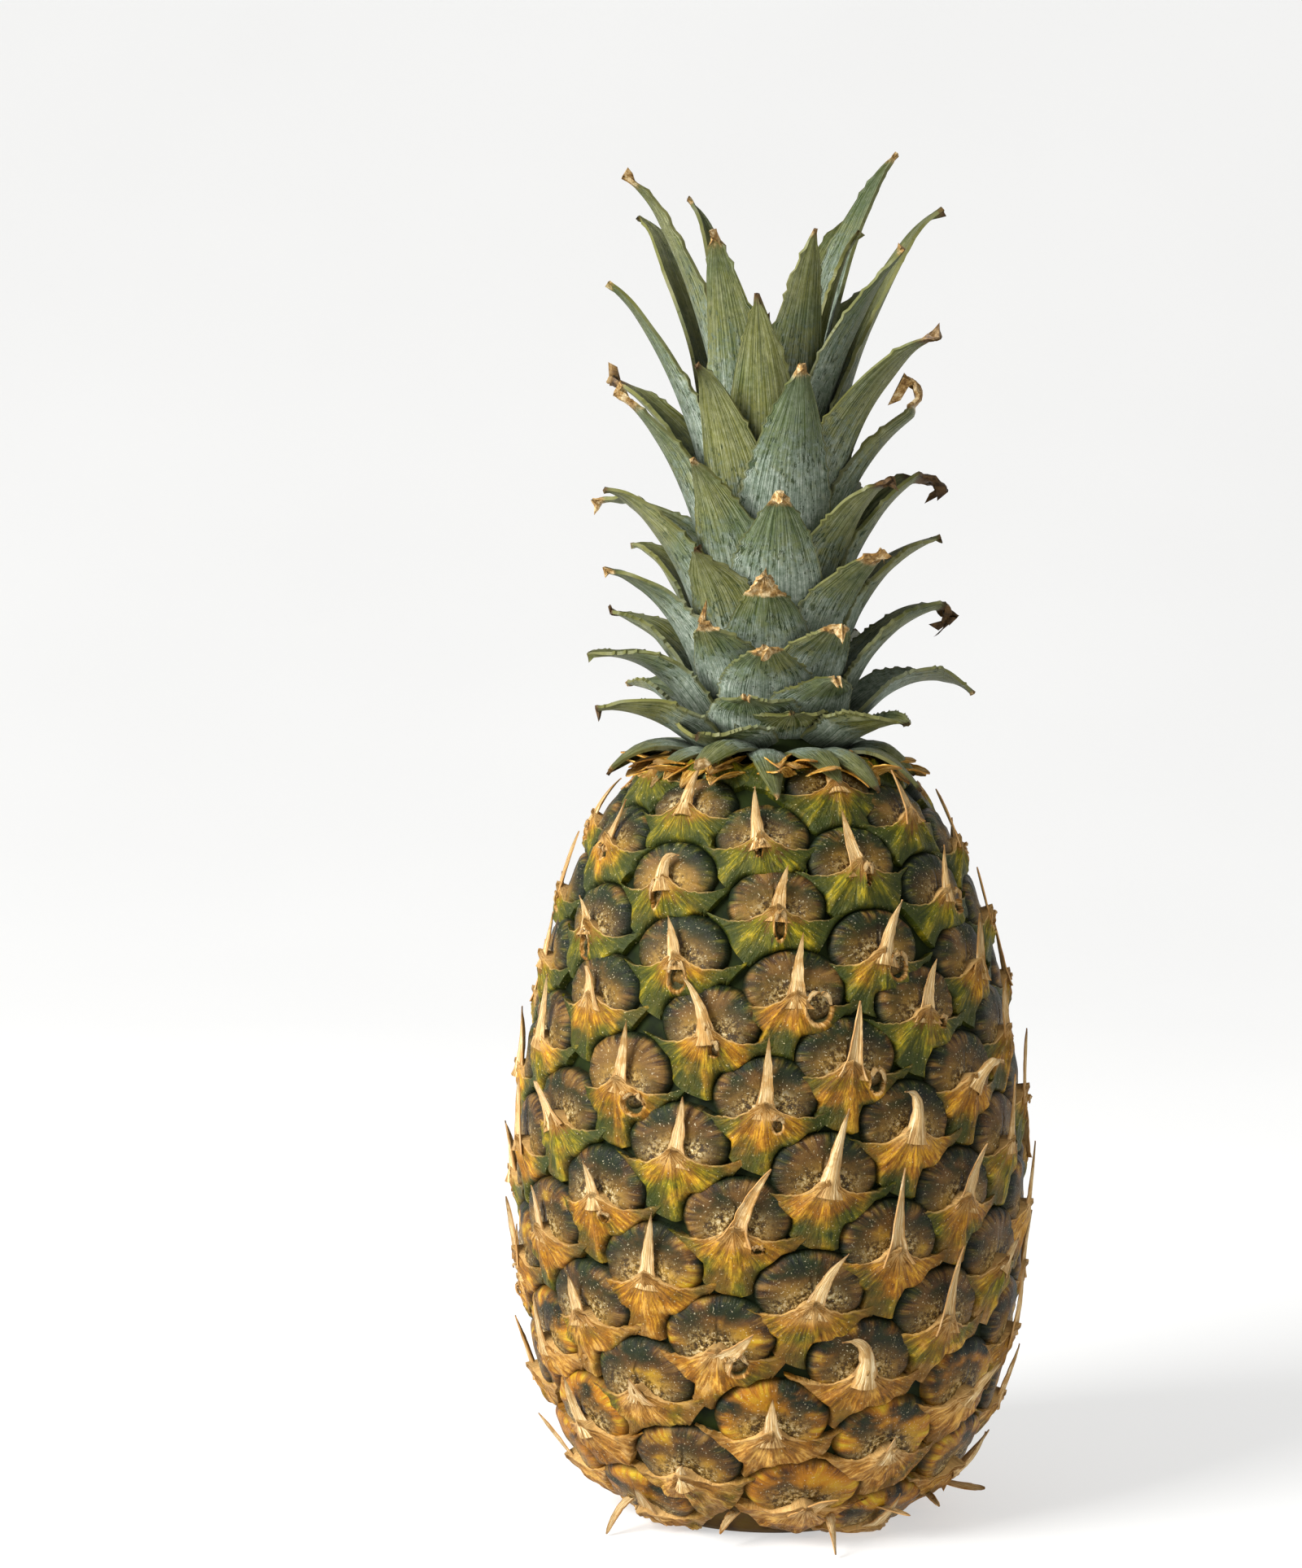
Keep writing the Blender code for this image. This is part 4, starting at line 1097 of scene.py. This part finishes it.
# %% Leaf finish
def leaf_finish():
    finish = Finish("crown_leaf", Specular_IOR_Level=0.2)
    across, along, tone = finish.attribute("leaf")
    age, length, dry = finish.attribute("growth")
    crease = finish.attribute("crease")[0]
    place = finish.place()
    seed = tone * 41.0
    lengthwise = along * length
    veins = finish.noise(finish.vector(across * 7.0, lengthwise * 1.5, seed), 2.4, 3.0, 0.6)
    fine = finish.noise(finish.vector(across * 34.0, lengthwise * 3.0, seed), 2.0, 2.0)
    cloud = finish.noise(place, 60.0, 4.0, 0.6)
    rub = finish.noise(finish.vector(across * 3.0, lengthwise * 30.0, seed), 1.6, 5.0, 0.72)
    grain = finish.noise(place, 500.0, 4.0, 0.75)
    stripes = veins * 0.35 + fine * 0.35 + rub * 0.3

    leaf = finish.ramp(stripes, [(0.40, (0.016, 0.030, 0.004)), (0.58, (0.085, 0.115, 0.020))])
    olive = finish.ramp(stripes, [(0.40, (0.038, 0.048, 0.005)), (0.58, (0.20, 0.19, 0.028))])
    colour = finish.mix(finish.band(cloud + along * 0.3 + (tone - 0.5) * 0.3, 0.50, 0.85), leaf,
                        olive)
    covered = along + (rub - 0.5) * 0.75 + (grain - 0.5) * 0.50 + (tone - 0.5) * 0.22
    white = finish.band(covered - age * 0.12, 0.62, 0.34)
    haze = finish.band(stripes + (fine - 0.5) * 0.6, 0.40, 0.62, 0.02, 0.32)
    powder = fine * 0.4 + grain * 0.6
    bloom = finish.ramp(powder, [(0.38, (0.085, 0.12, 0.080)), (0.52, (0.26, 0.31, 0.25)),
                                 (0.64, (0.50, 0.54, 0.46))])
    colour = finish.mix(haze, colour, bloom)
    colour = finish.mix(white * 0.85, colour, bloom)
    flaw = finish.noise(finish.vector(across * 5.0, lengthwise * 12.0, seed), 2.6, 5.0, 0.75)
    near_edge = finish.band(abs(covered - 0.55), 0.30, 0.0)
    spots = finish.band(flaw + near_edge * 0.09 + (grain - 0.5) * 0.25, 0.63, 0.69)
    colour = finish.mix(spots * 0.85, colour, (0.016, 0.032, 0.006))
    colour = finish.mix(finish.band(fine, 0.42, 0.30) * 0.55, colour, (0.020, 0.034, 0.009))
    # painted shade: near-black green towards each leaf's root, where other leaves would shade it
    root_shade = finish.band(along + (rub - 0.5) * 0.2 - age * 0.2, 0.34, 0.06)
    colour = finish.mix(root_shade * 0.75, colour, (0.018, 0.026, 0.010))
    margin = finish.band(abs(across), 0.93, 1.0)
    colour = finish.mix(margin * 0.7, colour, finish.mix(cloud, (0.035, 0.050, 0.014),
                                                         (0.22, 0.20, 0.060)))
    tan = finish.ramp(grain, [(0.35, (0.12, 0.055, 0.012)), (0.50, (0.36, 0.21, 0.065)),
                              (0.65, (0.70, 0.54, 0.30))])
    dark = finish.ramp(grain, [(0.35, (0.020, 0.011, 0.004)), (0.65, (0.13, 0.070, 0.022))])
    dried = finish.mix(finish.band(tone + (cloud - 0.5) * 0.5, 0.46, 0.62), tan, dark)
    colour = finish.mix(finish.band(crease + (grain - 0.5) * 0.6, 0.45, 0.80) * 0.8, colour,
                        (0.60, 0.55, 0.38))
    tip = finish.band(along + (rub - 0.5) * 0.08 + dry, 0.975, 1.01)
    colour = finish.mix(tip, colour, dried)
    finish.bump(veins * 0.2 + fine * 0.35 + spots * 0.1 + crease * 0.5, 0.0008)
    return finish.paint(Base_Color=colour, Roughness=0.38 + white * 0.25 + grain * 0.15)


# %% Leaf dimensions
LEAVES = 58
FRONT_LEAF = 5
LEAF_AZIMUTH = 12.0            # degrees, of the leaf in front
LEAF_DIVERGENCE = 135.2
LEAF_STRAY = 4.0
STEM_RADIUS = 0.0205
STEM_HEIGHT = 0.070
STEM_TAPER = 0.7               # the leaves' roots close in on the axis by this power
ROOT_SUNK = 0.002
# The leaves are numbered up the crown, and these values belong to the stations' leaves
LEAF_STATIONS = (0, 8, 20, 34, 47, 53, 57)
LEAF_LENGTHS = (0.026, 0.034, 0.046, 0.069, 0.100, 0.108, 0.056)
LEAF_WIDTHS = (0.028, 0.025, 0.024, 0.027, 0.022, 0.020, 0.008)
LEAF_ROOTS = (0.1897, 0.193, 0.202, 0.213, 0.227, 0.236, 0.243)
LEAF_CHANNELS = (0.021, 0.019, 0.017, 0.016, 0.015, 0.014, 0.008)
ROOT_LEANS = (65.0, 39.0, 17.0, 9.0, 7.0, 5.0, 3.0)
TIP_LEANS = (105.0, 100.0, 78.0, 54.0, 42.0, 34.0, 14.0)
ARCHING = 1.4
TIP_WIDTH = 0.03
DRIED_BACK = 0.85
DRIED_SECTOR = 62.0
FRONT_BEND = 0.45              # of the outward bend is left to the leaf right in front
# Leaves that stand off their place on the spiral, in degrees
LEAF_TURNS = {8: 20, 10: -27, 13: -15, 14: 10, 18: -21, 21: -14, 29: -5, 30: 12, 34: 5,
              37: 6, 38: 10, 42: 11, 45: -13, 48: 8, 49: -30, 50: 10, 52: -9, 53: 21}
# Leaves that kept more or less of their length
LEAF_SHARES = {0: 0.63, 2: 0.8, 5: 0.42, 7: 1.3, 8: 0.47, 10: 0.54, 13: 0.62, 15: 1.1,
               16: 0.66, 18: 0.59, 21: 0.68, 24: 0.73, 26: 0.68, 29: 0.78, 32: 0.81, 34: 0.74,
               37: 0.92, 39: 0.92, 40: 0.82, 42: 0.93, 45: 0.82, 46: 1.12, 47: 1.06, 48: 0.89,
               49: 1.1, 50: 0.84, 52: 1.08, 53: 0.77}
# Leaves whose tips lean out more or less, in degrees
LEAF_LEANS = {5: -15, 7: 45, 8: -15, 10: -10, 11: 20, 13: -15, 15: 12, 21: -10, 23: 12,
              30: 45, 31: 20, 34: 12, 38: 20, 39: 33, 42: 22, 48: -10, 49: 25, 50: 17,
              52: 12, 53: 15}
# Leaves with a crease across them, at a share of their length
LEAF_CREASES = {48: 0.40, 45: 0.42, 39: 0.86, 30: 0.84}
# Leaves with a longer dry tip: the share that is dry, and how far it curls in degrees
DRY_TIPS = {31: (0.16, 60), 15: (0.12, 50), 39: (0.14, -110), 38: (0.06, 20), 35: (0.08, 10),
            30: (0.05, 15), 29: (0.07, 10), 26: (0.12, 0), 21: (0.16, -10), 16: (0.10, -10),
            13: (0.10, 10), 18: (0.14, 30), 34: (0.08, 20), 42: (0.05, 30), 37: (0.03, 0)}
# Short leaves that droop over the shoulder
FOOT_LEAVES = 19
FOOT_HALF_WIDTH = 0.0062
FOOT_RADIUS = 0.0190
FOOT_HEIGHT = 0.1888
LEAF_COLUMNS = 10
LEAF_ROWS = 64
LAG = 0.125                    # a bend in the solids' steps comes half a step late
LEAF_WAVE = 0.0012             # how far a margin waves, and a crease or a dry tip rises
LEAF_THICKNESS = 0.0009
TOOTH = 0.0006
TOOTH_CHANCE = 0.22


def along_crown(leaf, values):
    """A value that changes up the crown, from its values at the stations."""
    return float(np.interp(leaf, LEAF_STATIONS, values))


# %% Leaves
def lay_leaf(shape, layers, leaf, draw, fine_draw):
    """One blade: a channelled sheet that leans out more and more towards its tip."""
    turn = LEAF_AZIMUTH - LEAF_DIVERGENCE * (leaf - FRONT_LEAF)
    stray = LEAF_TURNS.get(leaf, draw.uniform(-LEAF_STRAY, LEAF_STRAY))
    azimuth = half_turn(math.radians(turn + stray))
    left = DRIED_BACK if abs(azimuth) < math.radians(DRIED_SECTOR) else 1.0
    length = along_crown(leaf, LEAF_LENGTHS) * LEAF_SHARES.get(leaf, left)
    half_width = along_crown(leaf, LEAF_WIDTHS) / 2.0
    root_height = along_crown(leaf, LEAF_ROOTS)
    root_lean = math.radians(along_crown(leaf, ROOT_LEANS))
    tip_lean = math.radians(along_crown(leaf, TIP_LEANS) + LEAF_LEANS.get(leaf, 0.0))
    facing = min(abs(azimuth) / math.radians(DRIED_SECTOR), 1.0)
    bend = FRONT_BEND + (1.0 - FRONT_BEND) * facing ** 2
    tip_lean = root_lean + (tip_lean - root_lean) * bend
    channel = along_crown(leaf, LEAF_CHANNELS)
    stem_share = (root_height - NECK_HEIGHT) / STEM_HEIGHT
    radius = STEM_RADIUS * (1.0 - stem_share) ** STEM_TAPER - ROOT_SUNK
    side, outward = across_and_out(azimuth)
    place = outward * radius + Vector((0.0, 0.0, root_height))
    tone = fine_draw.random()
    twist = math.radians(fine_draw.uniform(-18.0, 18.0))
    curl = fine_draw.uniform(-15.0, 45.0) if abs(azimuth) > 0.6 else 0.0
    dry, curl = DRY_TIPS.get(leaf, (fine_draw.uniform(-0.01, 0.03), curl))
    kink = LEAF_CREASES.get(leaf, 2.0)
    start = len(shape.verts)
    bmesh.ops.create_grid(shape, x_segments=LEAF_COLUMNS, y_segments=LEAF_ROWS, size=1.0)
    shape.verts.ensure_lookup_table()
    rows = {}
    for corner in shape.verts[start:]:
        rows.setdefault(round((corner.co.y + 1.0) / 2.0 * LEAF_ROWS), []).append(corner)
    blade, growth, creased = layers
    for step in range(LEAF_ROWS + 1):
        share = step / LEAF_ROWS
        lean = root_lean + (tip_lean - root_lean) * max(share - LAG, 0.0) ** ARCHING
        lean += math.radians(curl) * max(share - 0.88 + dry * 0.5, 0.0) / 0.14
        across_way = side * math.cos(twist * share ** 2) + outward * math.sin(twist * share ** 2)
        inward = -outward * math.cos(lean) + Vector((0.0, 0.0, math.sin(lean)))
        taper = (0.86 + 0.55 * share) * (1.0 - share ** 1.8) + TIP_WIDTH
        shrink = 1.0 - 0.45 * smooth_step((share - 1.0 + dry) / 0.04) * (abs(curl) > 35.0)
        fold = channel * (1.0 - 0.45 * share)
        for corner in rows[step]:
            ratio = corner.co.x
            across = ratio * half_width * taper * shrink
            if abs(ratio) > 0.99 and 0.2 < share < 0.97 and fine_draw.random() < TOOTH_CHANCE:
                across += math.copysign(TOOTH, ratio)
            wave = noise.noise(Vector((ratio * 1.5 + leaf, share * 5.0, tone * 60.0)))
            rise = across ** 2 / (2.0 * fold) + LEAF_WAVE * wave * abs(ratio)
            rise += LEAF_WAVE * math.exp(-((share - kink) / 0.02) ** 2)
            crumple = noise.noise(Vector((ratio * 3.0, share * length * 400.0, tone * 90.0)))
            rise += LEAF_WAVE * crumple * smooth_step((share - 0.97 + dry) / 0.08)
            corner[blade] = Vector((ratio, share, tone))
            corner[growth] = Vector((leaf / LEAVES, length * 10.0, dry))
            line = math.exp(-((share - kink - 0.012 * wave) / 0.012) ** 2)
            corner[creased] = Vector((line, 0.0, 0.0))
            corner.co = place + across_way * across + inward * rise
        forward = outward * math.sin(lean) + Vector((0.0, 0.0, math.cos(lean)))
        place = place + forward * length / LEAF_ROWS


def foot_width(share):
    """Half width along a foot leaf, widest a third of the way out."""
    return FOOT_HALF_WIDTH * (0.75 + 0.8 * share) * (1.0 - share) ** 0.8 + 0.0002


def lay_foot(shape, layers, count, fine_draw):
    """One short leaf at the crown's foot, arching out and down."""
    azimuth = 2.0 * math.pi * (count + fine_draw.uniform(-0.35, 0.35)) / FOOT_LEAVES
    side, outward = across_and_out(azimuth)
    upward = Vector((0.0, 0.0, 1.0))
    root = outward * FOOT_RADIUS + upward * (FOOT_HEIGHT + fine_draw.uniform(0.0, 0.0012))
    reach = fine_draw.uniform(0.013, 0.025)
    tip = root + outward * reach + upward * fine_draw.uniform(-0.0110, -0.0010)
    tip += side * fine_draw.uniform(-0.004, 0.004)
    bend = root + outward * reach * 0.55 + upward * fine_draw.uniform(0.0030, 0.0065)
    start = len(shape.verts)
    bend_blade(shape, layers[0], curve_through(root, bend, tip), side, foot_width,
               fine_draw.uniform(0.2, 0.6), fine_draw.uniform(-0.6, 0.6), fine_draw.random())
    shape.verts.ensure_lookup_table()
    dry = fine_draw.uniform(0.0, 0.14)
    for corner in shape.verts[start:]:
        corner[layers[1]] = Vector((0.0, 0.2, dry))


def make_crown():
    """All the leaves, round their short stem."""
    shape = bmesh.new()
    layers = [shape.verts.layers.float_vector.new(name) for name in ("leaf", "growth", "crease")]
    draw = random.Random(3)
    fine_draw = random.Random(19)
    for leaf in range(LEAVES):
        lay_leaf(shape, layers, leaf, draw, fine_draw)
    for count in range(FOOT_LEAVES):
        lay_foot(shape, layers, count, fine_draw)
    bmesh.ops.recalc_face_normals(shape, faces=shape.faces)
    bmesh.ops.solidify(shape, geom=list(shape.faces), thickness=LEAF_THICKNESS)
    return make_piece(shape, "crown_leaves", leaf_finish(), ["crown"])


def make_stem():
    """The stem within the crown, in the grooves' near-black finish as painted shade."""
    shape = bmesh.new()
    middle = NECK_HEIGHT + JOINT_GAP + STEM_HEIGHT / 2.0
    bmesh.ops.create_cone(shape, segments=32, radius1=STEM_RADIUS, radius2=STEM_RADIUS * 0.2,
                          depth=STEM_HEIGHT, cap_ends=True, cap_tris=False,
                          matrix=Matrix.Translation((0.0, 0.0, middle)))
    # painted shade: the stem takes the grooves' near-black finish
    return make_piece(shape, "crown_stem", groove_finish(), ["crown"])


make_crown()
make_stem()

# %% [markdown]
# ## The cut stalk
# The stalk is cut off flush with the base, and its end shows pale fibres. The solid's shape
# is right, so it stays and only gets a finish: fine dots for the ends of the fibres.

# %% Stalk finish
def stalk_finish():
    finish = Finish("cut_stalk", Roughness=0.85)
    place = finish.place()
    fibres = finish.noise(place, 1400.0, 3.0)
    rings = finish.noise(place, 240.0, 2.0)
    colour = finish.ramp(fibres, [(0.38, (0.20, 0.13, 0.06)), (0.60, (0.58, 0.46, 0.29))])
    colour = finish.mix(finish.band(rings, 0.45, 0.70) * 0.5, colour, (0.30, 0.22, 0.11))
    finish.bump(fibres, 0.0005)
    return finish.paint(Base_Color=colour)


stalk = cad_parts["cut_stalk"]
stalk.data.materials.clear()
stalk.data.materials.append(stalk_finish())

# %% [markdown]
# ## Floor and light
# The fruit stands on a white table in soft daylight that comes from the left. A floor that
# bends up into a backdrop has no horizon, and two large area lamps with a pale world give
# the soft shadow on the right. The plain view transform keeps the whites of the photograph.

# %% Floor
FLOOR_CORNERS = ((-4.0, -3.0), (4.0, -3.0), (4.0, 2.5), (-4.0, 2.5))
BACKDROP_HEIGHT = 4.0
BACKDROP_BEND = 1.5
FLOOR_GLOW = 0.52              # keeps the far backdrop as white as the photograph's


def floor_finish():
    finish = Finish("pale_floor", Roughness=0.8, Emission_Color=(1.0, 1.0, 1.0),
                    Emission_Strength=FLOOR_GLOW)
    tint = finish.noise(finish.place(), 3.0, 2.0)
    colour = finish.ramp(tint, [(0.3, (0.45, 0.45, 0.44)), (0.7, (0.47, 0.47, 0.46))])
    return finish.paint(Base_Color=colour)


def make_floor():
    """A floor that bends up into a backdrop."""
    shape = bmesh.new()
    corners = [shape.verts.new((*place, 0.0)) for place in FLOOR_CORNERS]
    shape.faces.new(corners)
    fold = [edge for edge in shape.edges if all(corner in edge.verts for corner in corners[2:])]
    wall = bmesh.ops.extrude_edge_only(shape, edges=fold)["geom"]
    wall_corners = [part for part in wall if isinstance(part, bmesh.types.BMVert)]
    bmesh.ops.translate(shape, verts=wall_corners, vec=(0.0, 0.0, BACKDROP_HEIGHT))
    bmesh.ops.bevel(shape, geom=fold, offset=BACKDROP_BEND, segments=16, profile=0.5,
                    affect="EDGES", material=-1)
    bmesh.ops.recalc_face_normals(shape, faces=shape.faces)
    mesh = bpy.data.meshes.new("floor")
    shape.to_mesh(mesh)
    shape.free()
    mesh.shade_smooth()
    mesh.materials.append(floor_finish())
    floor = bpy.data.objects.new("floor", mesh)
    bpy.context.scene.collection.objects.link(floor)
    return floor


make_floor()

# %% Lights
# Each lamp's place, size and power
LAMPS = {"window": ((-1.1, -0.75, 0.9), 0.8, 46.0), "fill": ((1.1, -0.9, 0.6), 1.0, 2.0)}
LAMP_TARGET = Vector((0.0, 0.0, 0.14))
WORLD_STRENGTH = 0.42


def make_lights():
    """A window on the left, a weak fill on the right and a pale world."""
    for name, (place, size, power) in LAMPS.items():
        lamp = bpy.data.lights.new(name, "AREA")
        lamp.energy = power
        lamp.size = size
        holder = bpy.data.objects.new(name, lamp)
        holder.location = place
        way = LAMP_TARGET - Vector(place)
        holder.rotation_euler = way.to_track_quat("-Z", "Y").to_euler()
        bpy.context.scene.collection.objects.link(holder)
    world = bpy.data.worlds.new("world")
    world.use_nodes = True
    world.node_tree.nodes["Background"].inputs["Color"].default_value = (1.0, 1.0, 1.0, 1.0)
    world.node_tree.nodes["Background"].inputs["Strength"].default_value = WORLD_STRENGTH
    bpy.context.scene.world = world
    bpy.context.scene.view_settings.view_transform = "Standard"


make_lights()
print("lamps:", sorted(LAMPS))

# %% Update the view layer
bpy.context.view_layer.update()
